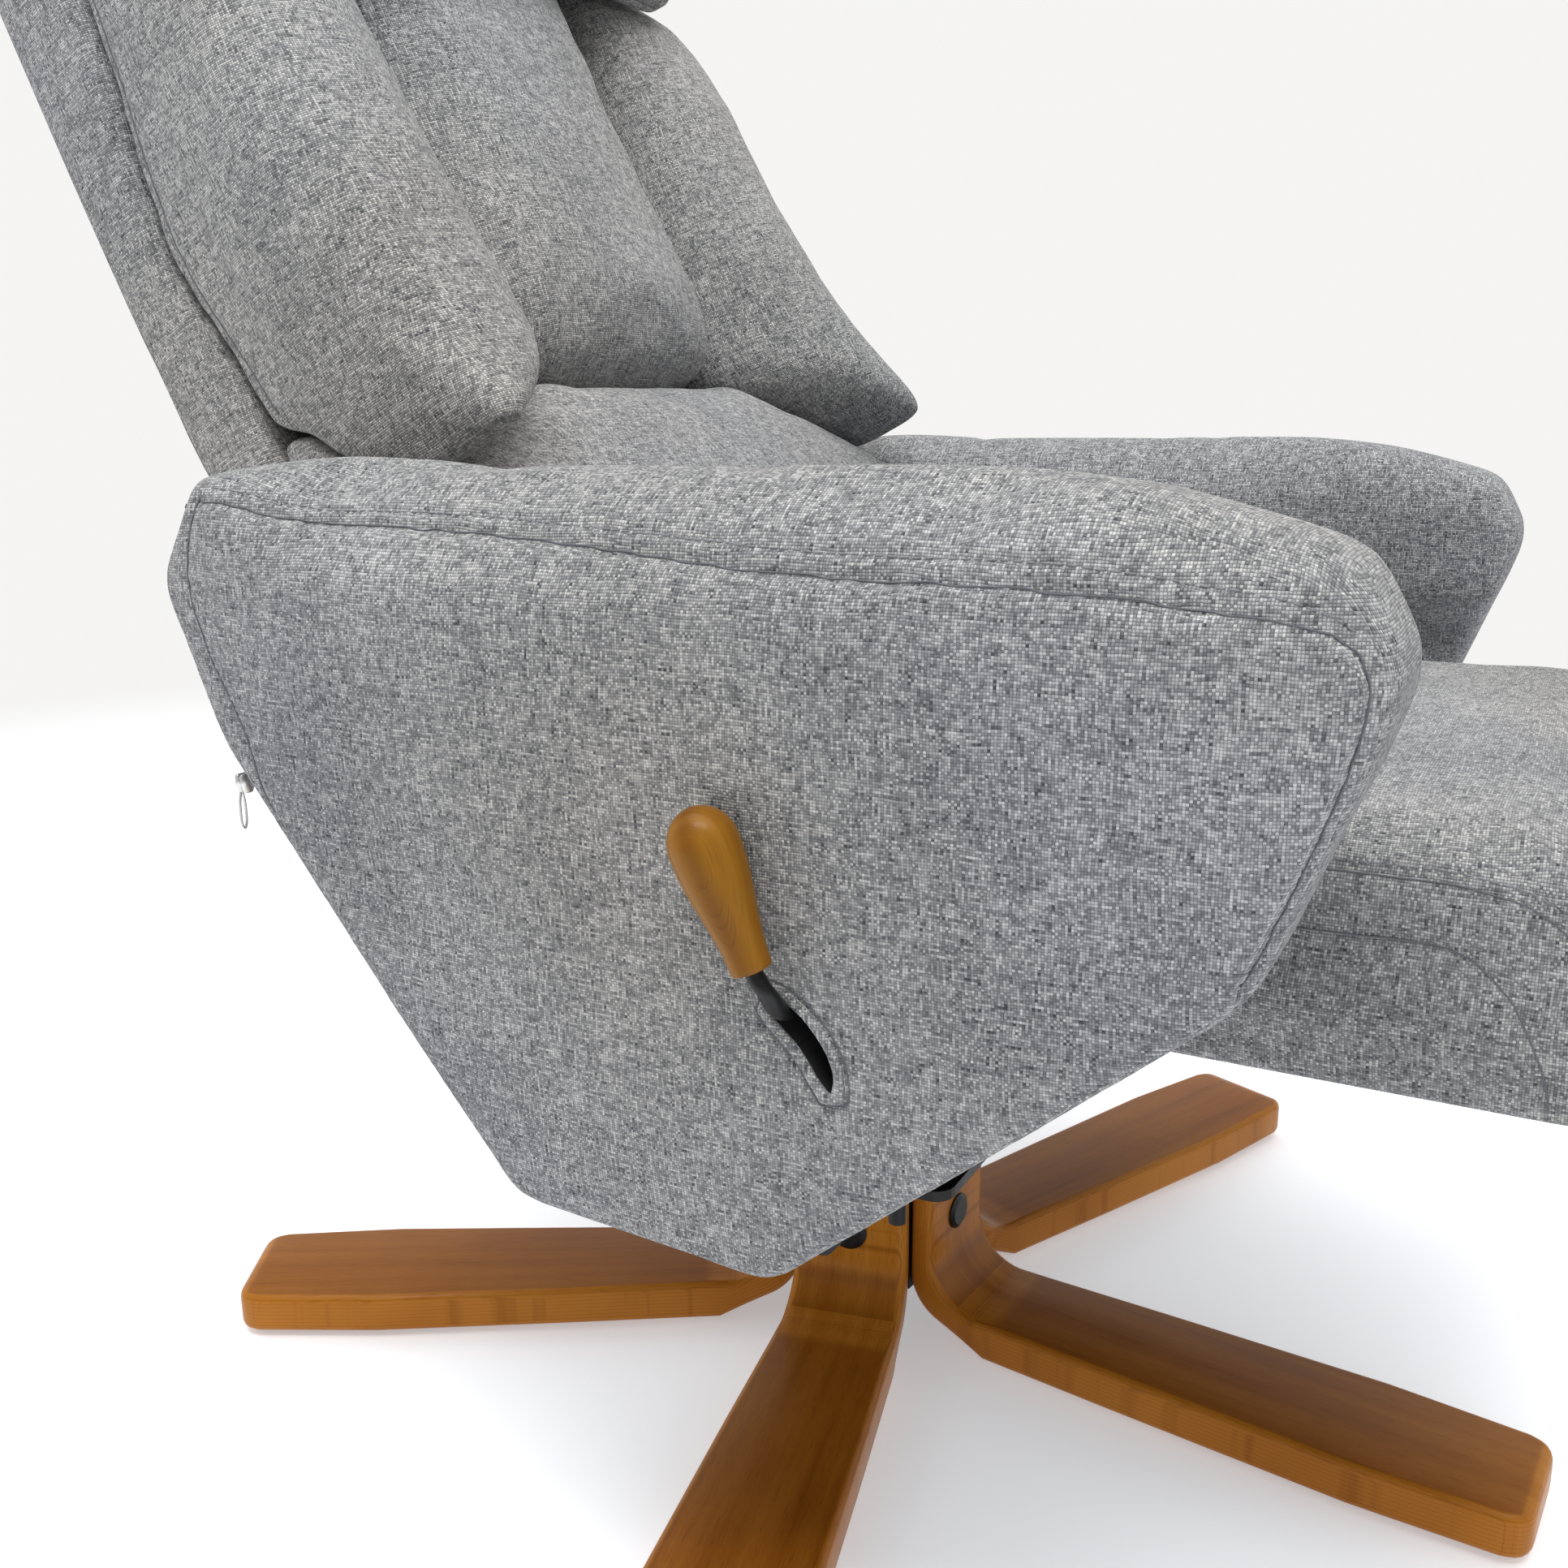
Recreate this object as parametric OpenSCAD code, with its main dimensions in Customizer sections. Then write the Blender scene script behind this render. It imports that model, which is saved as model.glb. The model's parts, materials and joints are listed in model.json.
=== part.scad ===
// Swivel recliner armchair. Five laminated bentwood legs bolt round a steel hub. A spindle in the hub
// carries the chassis with the two arms. The seat glides forward on rails while the back, hinged to
// the seat, leans back: a guide pin on each side of the back runs in a slot in the chassis plates.
// Frame: +Z up, the sitter faces -Y, the sitter's right is -X, the swivel axis is the Z axis,
// and the floor is Z = 0. Millimetres and degrees.

/* [Overall] */
// Width over both arms
chair_w = 740; // [730:2:750]
// Height of the arm tops above the floor
arm_h = 564; // [560:1:570]
// Top of the seat cushion above the floor
seat_h = 430; // [426:1:434]
// Lean of the back from the vertical
lean = 26; // [25:0.5:27]

/* [Base] */
// Radius from the swivel axis to a leg's tip
leg_reach = 420; // [400:5:440]
// Thickness of the foot of a leg
leg_t = 26; // [24:1:28]
// Thickness of the upright part of a leg
leg_up_t = 15; // [12:1:16]
// Height of the upright part of a leg
leg_h = 165; // [150:1:168]
// Distance from the axis to the flats of the hub
hub_flat = 50; // [48:1:52]
// Turn of the star base against the chair
base_turn = 48; // [0:1:71]
// Height of the plastic glides under the legs
glide_h = 4; // [3:1:6]
// Radius of the swivel spindle
spindle_r = 15; // [12:1:16]

/* [Seat and motion] */
// Overall width of the seat cushion
seat_w = 500; // [490:2:504]
// How far the seat cushion reaches in front of the swivel axis
seat_front = 440; // [420:5:460]
// Height of the back hinge above the floor
hinge_z = 395; // [393:1:397]
// Distance of the back hinge behind the swivel axis
hinge_y = 130; // [128:1:132]
// Full recline of the back from its upright stop
recline = 30; // [20:1:30]
// Forward glide of the seat at full recline
glide = 90; // [60:5:90]
// Throw of the locking lever
lever_throw = 38; // [30:1:38]

/* [Back] */
// Half the width of the back
back_half = 258; // [250:1:259]
// Length of the back shell up from the hinge
back_len = 690; // [660:5:720]

/* [Hidden] */
$fn = 48;

fabric = "#9a9c9c";
wood = "#b4742c";
black = "#1c1c1e";
steel = "#8a8d90";

// Star base
leg_names = ["leg_rear_left", "leg_rear_right", "leg_side_right", "leg_front", "leg_side_left"];
leg_outer = hub_flat + leg_up_t;      // outer face of a leg's upright part
leg_top = glide_h + leg_t;            // top of a leg's foot
leg_half_hub = hub_flat * tan(36) - 0.3;
leg_half_tip = 45;
bolt_z = [80, 130];
cap_r = 11.5;
hub_in = hub_flat - 4;
hub_low = 36;                         // bottom of the hub
hub_hole_r = spindle_r + 2.1;
bush_r = spindle_r + 2;
disc_z = [60, 150];                   // undersides of the two discs inside the hub

// Chassis
plate_z = 176;
plate_t = 6;
rail_h = 18;
beam_z = plate_z + plate_t + rail_h;
beam_s = 30;
plate_x = 165;
plate_bolt_y = [-85, 64];
side_x = 270;                         // inner face of a side plate
side_t = 5;

// Arms
arm_out = chair_w / 2;
roll_in = 265;
panel_in = 295;
roll_z = 455;                         // where the roll ends and the panel starts
tube_x = 311;                         // middle of the arm frame's tube
tube_s = 16;                          // and its width
post_y = [-130, -38];
post_z = [275, 272];

// Locking lever, on the sitter's right
lever_y = -101;
lever_z = 321;
crank_r = 53;
crank_a = 126;                        // angle of the crank from +Y towards +Z, at rest
pocket_r = 60;
pocket_in = 328;
skin_in = 360;

// Seat and glide
seat_under = 318;
seat_rear = 98;
frame_top = 344;
frame_half = 232;
hinge_room_z = 376;                   // the cushion is cut away below this at its rear, for the hinges
guide_y = -5;                         // guide pin's centre from the hinge, at rest
guide_z = -55;
guide_r = 5;

// Rounds each corner of an outline: r is one radius, or one for each corner.
function unit(v) = v / norm(v);
function arc_points(c, r, a0, a1, n) = [
    for (k = [0:n]) let (a = a0 + (a1 - a0) * k / n) c + r * [cos(a), sin(a)]
];
function turn(a) = a > 180 ? a - 360 : a < -180 ? a + 360 : a;
function rounded(pts, r, n = 5) = [
    for (i = [0:len(pts) - 1])
        let (p = pts[i], q = len(pts), u = unit(pts[(i + q - 1) % q] - p), v = unit(pts[(i + 1) % q] - p))
        let (half = acos(u * v) / 2, ri = is_list(r) ? r[i] : r, c = p + unit(u + v) * ri / sin(half))
        let (s = p + u * ri / tan(half) - c, e = p + v * ri / tan(half) - c)
        let (a0 = atan2(s[1], s[0]), a1 = a0 + turn(atan2(e[1], e[0]) - a0))
        each arc_points(c, ri, a0, a1, n)
];

// Draws its children on the sitter's left (s = 1) or mirrored to the right (s = -1).
module on_side(s) {
    if (s > 0) children();
    else mirror([1, 0, 0]) children();
}

// Extrudes an outline in Y and Z along X, from x0 to x1.
module along_x(x0, x1) {
    translate([x0, 0, 0]) rotate([90, 0, 90]) linear_extrude(height = x1 - x0) children();
}

// Extrudes an outline in X and Z along Y, from y0 to y1.
module along_y(y0, y1) {
    translate([0, y1, 0]) rotate([90, 0, 0]) linear_extrude(height = y1 - y0) children();
}

// Round bar of radius r from a to b.
module bar(a, b, r) {
    d = b - a;
    translate(a) rotate([0, acos(d[2] / norm(d)), atan2(d[1], d[0])]) cylinder(r = r, h = norm(d));
}

// Bent round bar through the listed points, a little swollen at each bend.
module bent_bar(pts, r) {
    for (i = [0:len(pts) - 2]) bar(pts[i], pts[i + 1], r);
    for (i = [1:len(pts) - 2]) translate(pts[i]) sphere(r = 1.08 * r);
}

// Box given by its two corners.
module block(a, b) {
    translate(a) cube(b - a);
}

// Puts children, drawn in the back's own frame, in place: X across, Y to the rear, Z up the back.
module on_back() {
    translate([0, hinge_y, hinge_z]) rotate([-lean, 0, 0]) children();
}

// ---- Star base ----

// Side outline of a bent leg: thin upright part, inner bend, and a thicker foot with a wedge under the bend.
function leg_outline() = concat(
    arc_points([leg_outer + 33.5, leg_top + 33.5], 33.5, 180, 270, 8),
    [[leg_reach, leg_top], [leg_reach, glide_h], [104, glide_h]],
    arc_points([hub_flat + 30, 48], 30, 245, 180, 8),
    [[hub_flat, leg_h], [leg_outer, leg_h]]
);

module leg_plan() {
    polygon(rounded([
        [hub_flat - 2, -leg_half_hub], [leg_reach - 90, -leg_half_tip], [leg_reach, -leg_half_tip + 5],
        [leg_reach, leg_half_tip - 5], [leg_reach - 90, leg_half_tip], [hub_flat - 2, leg_half_hub]
    ], [0.1, 60, 13, 13, 60, 0.1]));
}

module leg(i) {
    color(wood) rotate([0, 0, base_turn + 72 * i]) difference() {
        intersection() {
            rotate([90, 0, 0]) linear_extrude(height = 120, center = true) polygon(leg_outline());
            linear_extrude(height = 200) leg_plan();
        }
        for (z = bolt_z) {
            translate([0, 0, z]) rotate([0, 90, 0]) cylinder(r = 4.2, h = leg_reach / 2);
            translate([leg_outer - 6, 0, z]) rotate([0, 90, 0]) cylinder(r = 8, h = 20);
        }
    }
}

// Draws children at each bolt place of the hub, with X pointing outwards along the bolt.
module at_leg_bolts() {
    for (i = [0:4], z = bolt_z) rotate([0, 0, base_turn + 72 * i]) translate([0, 0, z]) children();
}

module leg_glides() {
    color(black) for (i = [0:4]) rotate([0, 0, base_turn + 72 * i])
        translate([leg_reach - 28, 0, 0]) cylinder(r = 14, h = glide_h);
}

module leg_bolts() {
    color(black) at_leg_bolts() rotate([0, 90, 0]) {
        translate([0, 0, hub_in - 4]) cylinder(r = 4, h = leg_outer - 6 - hub_in + 4);
        translate([0, 0, leg_outer - 6]) cylinder(r = 7, h = 5);
    }
}

module bolt_caps() {
    color(black) at_leg_bolts() rotate([0, 90, 0]) translate([0, 0, leg_outer]) {
        cylinder(r = cap_r, h = 1.2);
        translate([0, 0, 1.2]) cylinder(r1 = cap_r, r2 = cap_r - 3, h = 1.6);
    }
}

module hub() {
    color(black) difference() {
        translate([0, 0, hub_low]) rotate([0, 0, base_turn + 36])
            cylinder(r = hub_flat / cos(36), h = leg_h - hub_low, $fn = 5);
        at_leg_bolts() rotate([0, 90, 0]) cylinder(r = 4.2, h = 2 * hub_flat);
        rotate([0, 0, base_turn + 36]) {
            translate([0, 0, -1]) cylinder(r = hub_in / cos(36), h = disc_z[0] + 1, $fn = 5);
            translate([0, 0, disc_z[0] + 6])
                cylinder(r = hub_in / cos(36), h = disc_z[1] - disc_z[0] - 6, $fn = 5);
            translate([0, 0, disc_z[1] + 6]) cylinder(r = hub_in / cos(36), h = 40, $fn = 5);
        }
        cylinder(r = hub_hole_r, h = 200);
    }
}

module hub_bushes() {
    color("#e8e4d8") difference() {
        union() {
            translate([0, 0, disc_z[0] - 2]) cylinder(r = bush_r + 5, h = 2);
            translate([0, 0, disc_z[0] - 1]) cylinder(r = bush_r, h = 9);
            translate([0, 0, disc_z[1] - 2]) cylinder(r = bush_r, h = 9);
            translate([0, 0, disc_z[1] + 6]) cylinder(r = bush_r + 9, h = 3);
        }
        cylinder(r = spindle_r + 0.05, h = 200);
    }
}

// ---- Chassis ----

module swivel_plate() {
    color(black) difference() {
        translate([0, 0, plate_z]) linear_extrude(height = plate_t)
            polygon(rounded([[-plate_x, -120], [plate_x, -120], [plate_x, 100], [-plate_x, 100]], 12));
        for (x = [-150, 150], y = plate_bolt_y) translate([x, y, 150]) cylinder(r = 5.3, h = 50);
    }
}

module swivel_spindle() {
    color(steel) {
        difference() {
            translate([0, 0, 48]) cylinder(r = spindle_r, h = plate_z - 48);
            translate([0, 0, 53]) difference() {
                cylinder(r = spindle_r + 5, h = 2);
                cylinder(r = spindle_r - 2, h = 2);
            }
        }
        translate([0, 0, disc_z[1] + 9.4]) cylinder(r = bush_r + 8, h = plate_z - disc_z[1] - 9.4);
    }
}

module spindle_clip() {
    color(steel) difference() {
        translate([0, 0, 53.1]) cylinder(r = spindle_r + 4, h = 1.8);
        cylinder(r = spindle_r - 1.9, h = 100);
        block([-4, 0, 50], [4, 30, 60]);
    }
}

module plate_bolts() {
    color(black) for (x = [-150, 150], y = plate_bolt_y) translate([x, y, 0]) {
        translate([0, 0, 150]) cylinder(r = 5, h = beam_z + beam_s - 150);
        translate([0, 0, beam_z + beam_s]) cylinder(r = 8.5, h = 6.5, $fn = 6);
        translate([0, 0, plate_z - 8.5]) cylinder(r = 9.5, h = 8.5, $fn = 6);
    }
}

module sub_rails() {
    color(black) for (x = [-150, 150]) difference() {
        block([x - 13, -112, plate_z + plate_t], [x + 13, 98, beam_z]);
        block([x - 11, -113, plate_z + plate_t + 2], [x + 11, 99, beam_z - 2]);
        for (y = plate_bolt_y) translate([x, y, 150]) cylinder(r = 5.3, h = 60);
    }
}

module cross_beams() {
    color(black) for (y = plate_bolt_y) difference() {
        block([-side_x, y - beam_s / 2, beam_z], [side_x, y + beam_s / 2, beam_z + beam_s]);
        block(
            [-side_x - 1, y - beam_s / 2 + 2, beam_z + 2],
            [side_x + 1, y + beam_s / 2 - 2, beam_z + beam_s - 2]
        );
        for (x = [-150, 150]) translate([x, y, 150]) cylinder(r = 5.3, h = 100);
    }
}

// Place of the guide pin in the chassis when the back has leaned by a.
function guide_at(a) = [
    hinge_y - glide * a / recline + guide_y * cos(a) + guide_z * sin(a),
    hinge_z - guide_y * sin(a) + guide_z * cos(a)
];

module side_plate(s) {
    color(black) on_side(s) difference() {
        along_x(side_x, side_x + side_t) difference() {
            polygon(rounded([
                [-104, beam_z], [76, beam_z], [146, 305], [146, 370],
                [-20, 370], [-40, 338], [-176, 338], [-176, 290]
            ], 8));
            for (k = [0:3]) hull() {
                translate(guide_at(recline * k / 4)) circle(r = guide_r + 1);
                translate(guide_at(recline * (k + 1) / 4)) circle(r = guide_r + 1);
            }
        }
        for (i = [0:1]) translate([0, post_y[i], post_z[i]]) rotate([0, 90, 0]) cylinder(r = 4.2, h = 400);
        if (s < 0) translate([0, lever_y, lever_z]) rotate([0, 90, 0]) cylinder(r = 9.1, h = 400);
    }
}

// C-channel, open towards the seat, that carries a runner.
module seat_rail(s) {
    color(steel) on_side(s) difference() {
        block([side_x - 15, -172, 288], [side_x, 132, 312]);
        block([side_x - 16, -173, 291], [side_x - 3, 133, 309]);
    }
}

// ---- Arms ----

// Side outline of an arm in Y and Z, from the rear top corner round the back to the front.
arm_outline = [
    [180, arm_h], [206, arm_h - 50], [170, 436], [12, 240], [-118, 233], [-206, 308], [-304, 392],
    [-345, 504], [-326, arm_h - 21], [-250, arm_h]
];
arm_radii = [10, 22, 30, 20, 14, 60, 60, 30, 26, 120];

module arm_profile() {
    polygon(rounded(arm_outline, arm_radii, 6));
}

// Square tube inside the arm, bent into a closed ring, with a round foot at each bolt; grown by g.
module arm_ring(g) {
    ring = [
        [128, 508], [-288, 508], [-294, 440], [-152, 270], [-30, 256], [126, 440]
    ];
    along_x(tube_x - tube_s / 2 - g, tube_x + tube_s / 2 + g) difference() {
        offset(delta = g) polygon(rounded(ring, 18));
        offset(delta = -tube_s - g) polygon(rounded(ring, 18));
    }
    for (i = [0:1]) translate([side_x + side_t, post_y[i], post_z[i]]) rotate([0, 90, 0])
        cylinder(r = 10 + g, h = tube_x - tube_s / 2 - side_x - side_t + 1);
}

module arm_frame(s) {
    color(steel) on_side(s) difference() {
        arm_ring(0);
        for (i = [0:1]) translate([side_x, post_y[i], post_z[i]]) rotate([0, 90, 0]) cylinder(r = 4.1, h = 34);
    }
}

module arm_bolts() {
    color(black) for (s = [-1, 1], i = [0:1])
        on_side(s) translate([0, post_y[i], post_z[i]]) rotate([0, 90, 0]) {
            translate([0, 0, side_x]) cylinder(r = 4, h = 32);
            translate([0, 0, side_x - 5]) cylinder(r = 6.5, h = 5, $fn = 6);
        }
}

module arm_panel(s) {
    color(fabric) on_side(s) difference() {
        intersection() {
            along_x(panel_in, arm_out - 2) arm_profile();
            block([0, -400, 0], [500, 300, roll_z]);
            linear_extrude(height = 600) arm_plan(panel_in);
        }
        arm_ring(0.3);
        if (s < 0) translate([0, lever_y, lever_z]) rotate([0, 90, 0]) {
            cylinder(r = 8, h = 340);
            translate([0, 0, pocket_in]) cylinder(r = pocket_r, h = skin_in - pocket_in);
        }
        if (s < 0) lever_slot();
    }
}

// Curved slot through the outer skin, in which the lever's rod swings.
module lever_slot() {
    half_w = 6;
    end_a = crank_a + lever_throw;
    translate([skin_in - 1, lever_y, lever_z]) rotate([90, 0, 90]) linear_extrude(height = 20) polygon(concat(
        arc_points([0, 0], crank_r + half_w, crank_a, end_a, 10),
        arc_points(crank_r * [cos(end_a), sin(end_a)], half_w, end_a + 22.5, end_a + 157.5, 6),
        arc_points([0, 0], crank_r - half_w, end_a, crank_a, 10),
        arc_points(crank_r * [cos(crank_a), sin(crank_a)], half_w, crank_a + 202.5, crank_a + 337.5, 6)
    ));
}

// Plan outline of an arm: the front corners are well rounded.
module arm_plan(inner) {
    polygon(rounded([[inner, -350], [arm_out, -350], [arm_out, 207], [inner, 207]], [30, 46, 26, 20], 6));
}

module arm_roll(s) {
    color(fabric) on_side(s) difference() {
        intersection() {
            along_x(roll_in, arm_out) arm_profile();
            linear_extrude(height = 600) arm_plan(roll_in);
            along_y(-400, 300) polygon(rounded([
                [roll_in, roll_z], [arm_out - 2, roll_z], [arm_out - 2, arm_h + 1], [roll_in, arm_h + 1]
            ], [16, 0.5, 24, 34], 6));
        }
        arm_ring(0.3);
    }
}

// Zip down the rear edge of the arm: a strip that follows the arm's outline.
module zip_tape(s) {
    color("#55585c") on_side(s) intersection() {
        along_x(arm_out - 22, arm_out - 10) difference() {
            offset(delta = 2.2) arm_profile();
            offset(delta = 0.2) arm_profile();
        }
        block([0, 120, 424], [500, 300, 545]);
    }
}

slider_y = 166;
slider_z = 421;
eye_y = slider_y + 3;
eye_z = slider_z - 6;

module zip_slider(s) {
    color("silver") on_side(s) translate([arm_out - 16, 0, 0]) {
        block([-4, slider_y - 3, slider_z - 6], [4, slider_y + 1, slider_z + 3]);
        block([-3.4, slider_y + 1, eye_z - 1], [-2.2, eye_y + 1, eye_z + 1]);
        block([2.2, slider_y + 1, eye_z - 1], [3.4, eye_y + 1, eye_z + 1]);
        translate([-3, eye_y, eye_z]) rotate([0, 90, 0]) cylinder(r = 0.7, h = 6, $fn = 24);
    }
}

// Narrow loop pull that hangs from the slider.
module zip_pull(s) {
    color("silver") on_side(s) translate([arm_out - 16, eye_y, eye_z]) difference() {
        union() {
            translate([-1.6, 0, 0]) rotate([0, 90, 0]) cylinder(r = 1.8, h = 3.2, $fn = 24);
            block([-1.6, -0.7, -20], [1.6, 0.7, -1.2]);
        }
        translate([-5, 0, 0]) rotate([0, 90, 0]) cylinder(r = 0.8, h = 10, $fn = 24);
        block([-0.7, -2, -18], [0.7, 2, -5]);
    }
}

// ---- Locking lever ----

module lever_bush() {
    color("#e8e4d8") on_side(-1) translate([0, lever_y, lever_z]) rotate([0, 90, 0]) difference() {
        union() {
            translate([0, 0, side_x]) cylinder(r = 9, h = side_t);
            translate([0, 0, side_x + side_t]) cylinder(r = 12, h = 2);
        }
        cylinder(r = 6.05, h = 400);
    }
}

module lever_shaft() {
    color(steel) on_side(-1) translate([side_x - 4, lever_y, lever_z]) rotate([0, 90, 0]) {
        cylinder(r = 6, h = 345 - side_x + 4);
        cylinder(r = 8, h = 3.5);
    }
}

// Lobed cam that presses the brake shoe on to the rail when the lever is up.
module lock_cam() {
    color(steel) on_side(-1) translate([side_x + side_t + 3, lever_y, lever_z]) rotate([0, 90, 0])
    difference() {
        union() {
            cylinder(r = 11, h = 8);
            translate([-4, 0, 0]) cylinder(r = 10, h = 8);
        }
        translate([0, 0, -1]) cylinder(r = 6, h = 10);
    }
}

module brake_shoe() {
    color(black) on_side(-1) block(
        [side_x + side_t, lever_y - 12, lever_z + 15], [side_x + side_t + 12, lever_y + 12, lever_z + 21]
    );
}

function crank_at(x, r) = [x, lever_y + r * cos(crank_a), lever_z + r * sin(crank_a)];
handle_foot = [385, -128, 385];
handle_top = [389, -104, 447];

module lever_rod() {
    color(black) on_side(-1) difference() {
        union() {
            bent_bar([
                [340, lever_y, lever_z], crank_at(342, 30), crank_at(352, crank_r - 3), crank_at(371, crank_r),
                [383, -133, 376], handle_foot, handle_foot + 12 * unit(handle_top - handle_foot)
            ], 4);
            translate([336, lever_y, lever_z]) rotate([0, 90, 0]) cylinder(r = 10, h = 8);
        }
        translate([330, lever_y, lever_z]) rotate([0, 90, 0]) cylinder(r = 6, h = 15);
    }
}

// Turned pear-shaped grip.
module lever_handle() {
    d = handle_top - handle_foot;
    h = norm(d);
    color(wood) on_side(-1) translate(handle_foot)
        rotate([0, acos(d[2] / h), atan2(d[1], d[0])]) difference() {
            rotate_extrude() polygon(concat(
                [[0, 0], [7.6, 0]],
                [for (k = [0:6]) let (t = k / 6) [8.4 + 5.4 * (1 - cos(180 * t)) / 2, 2 + 46 * t]],
                arc_points([0, h - 16], 13.8, 8, 90, 8)
            ));
            translate([0, 0, -1]) cylinder(r = 4, h = 13);
            translate([0, 0, -1]) cylinder(r = 4.5, h = 6.5);
        }
}

// ---- Seat ----

module seat_frame() {
    color("#d9b98a") difference() {
        block([-frame_half, -seat_front + 40, seat_under], [frame_half, seat_rear, frame_top]);
        block([-frame_half + 32, -seat_front + 72, 0], [frame_half - 32, seat_rear - 32, 400]);
    }
}

// Zigzag spring wire along Y, n bends of the given swing, from y0 to y1.
module zigzag(y0, y1, n, swing, wire = 3.2) {
    step = (y1 - y0) / n;
    path = concat([[0, y0]], [for (k = [0:n - 1]) let (d = k % 2 == 0 ? swing : -swing)
        each [[d, y0 + step * (k + 0.3)], [d, y0 + step * (k + 0.7)]]], [[0, y1]]);
    last = len(path) - 1;
    linear_extrude(height = wire) polygon(concat(
        [for (p = path) p + [wire / 2, 0]], [for (k = [last:-1:0]) path[k] - [wire / 2, 0]]
    ));
}

module seat_springs() {
    color(steel) for (x = [-150, -50, 50, 150])
        translate([x, 0, 328]) zigzag(-seat_front + 72, seat_rear - 32, 12, 18);
}

module seat_cushion() {
    color(fabric) difference() {
        intersection() {
            along_x(-seat_w / 2, seat_w / 2) polygon(rounded([
                [-seat_front, seat_under], [seat_rear, seat_under], [seat_rear, seat_h], [-seat_front, seat_h]
            ], [34, 1, 4, 52], 7));
            linear_extrude(height = 600) polygon(rounded([
                [-seat_w / 2, -seat_front], [seat_w / 2, -seat_front],
                [seat_w / 2, seat_rear], [-seat_w / 2, seat_rear]
            ], [50, 50, 4, 4], 7));
            along_y(-500, 200) polygon(rounded([
                [-seat_w / 2, seat_under], [seat_w / 2, seat_under], [seat_w / 2, seat_h], [-seat_w / 2, seat_h]
            ], [2, 2, 26, 26], 5));
        }
        block([-frame_half - 0.3, -seat_front + 39.7, 300], [frame_half + 0.3, 200, frame_top + 0.3]);
        block([-300, 70, 300], [300, 200, hinge_room_z]);
    }
}

module seat_dust_cover() {
    color(black) block(
        [-frame_half + 20, -seat_front + 60, seat_under - 1.2], [frame_half - 20, seat_rear - 10, seat_under]
    );
}

// Runner: a bar in the rail, with a web and a foot screwed under the seat frame.
module seat_runner(s) {
    color(steel) on_side(s) {
        block([246, -150, 293], [side_x - 5, 60, 307]);
        block([246, -150, 293], [250, 60, seat_under]);
        block([frame_half - 18.8, -150, seat_under - 4], [250, 60, seat_under]);
    }
}

module hinge_plate(s) {
    color(black) on_side(s) difference() {
        union() {
            along_x(238, 242) polygon([
                [seat_rear, seat_under], [seat_rear + 10, seat_under], [hinge_y + 11.5, hinge_z - 3],
                [hinge_y - 11.5, hinge_z + 3], [seat_rear, 350]
            ]);
            translate([238, hinge_y, hinge_z]) rotate([0, 90, 0]) cylinder(r = 12, h = 4);
            block([200, seat_rear, seat_under], [238, seat_rear + 4, frame_top]);
        }
        translate([230, hinge_y, hinge_z]) rotate([0, 90, 0]) cylinder(r = 6, h = 20);
    }
}

module hinge_pins() {
    color(steel) for (s = [-1, 1]) on_side(s) translate([0, hinge_y, hinge_z]) rotate([0, 90, 0]) {
        translate([0, 0, 238]) cylinder(r = 6, h = 13);
        translate([0, 0, 235]) cylinder(r = 9, h = 3);
    }
}

// ---- Back (drawn in its own frame: X across, Y to the rear, Z up the back) ----

upright_x = 224;
frame_v = 41;                         // depth of the back frame behind the hinge line
frame_r = 10;
shell_front = 15;                     // front face of the back shell
shell_room_v = 55;                    // the frame's room in the shell ends here
pads_front = -73;                     // the headrest's rear face, in front of the pads below it

module back_frame() {
    top = back_len - 40;
    color(black) on_back() {
        bent_bar([
            [-upright_x, frame_v, 4], [-upright_x, frame_v, top - 60], [-upright_x + 60, frame_v, top],
            [upright_x - 60, frame_v, top], [upright_x, frame_v, top - 60], [upright_x, frame_v, 4]
        ], frame_r);
        for (s = [-1, 1]) bar([s * upright_x, frame_v, 26], [s * 245, frame_v, 26], 8);
        for (z = [30, 330]) bar([-upright_x, frame_v, z], [upright_x, frame_v, z], 8);
    }
}

// Bracket: an eye on the hinge pin, an arm to the upright and a tail down to the guide pin.
module back_bracket(s) {
    tail = [guide_y, guide_z];
    color(black) on_side(s) difference() {
        union() {
            translate([0, hinge_y, hinge_z]) along_x(245, 249) {
                hull() {
                    circle(r = 13);
                    translate(tail) circle(r = 10);
                }
                rotate(-lean) hull() {
                    circle(r = 13);
                    translate([frame_v, 26]) circle(r = 13);
                }
            }
        }
        translate([240, hinge_y, hinge_z]) rotate([0, 90, 0]) cylinder(r = 6.06, h = 20);
        translate([240, hinge_y + guide_y, hinge_z + guide_z]) rotate([0, 90, 0]) cylinder(r = guide_r, h = 20);
    }
}

module guide_pins() {
    color(steel) for (s = [-1, 1])
        on_side(s) translate([0, hinge_y + guide_y, hinge_z + guide_z]) rotate([0, 90, 0]) {
            translate([0, 0, 244]) cylinder(r = guide_r, h = side_x + side_t + 4 - 244);
            translate([0, 0, 249.2]) cylinder(r = 8, h = 3);
        }
}

module back_springs() {
    span = upright_x - frame_r;
    color(steel) on_back() for (z = [90, 150, 210, 270, 390, 450, 510])
        translate([0, frame_v, z]) rotate([90, 0, 0]) rotate([0, 0, -90]) zigzag(-span, span, 11, 12);
}

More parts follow.
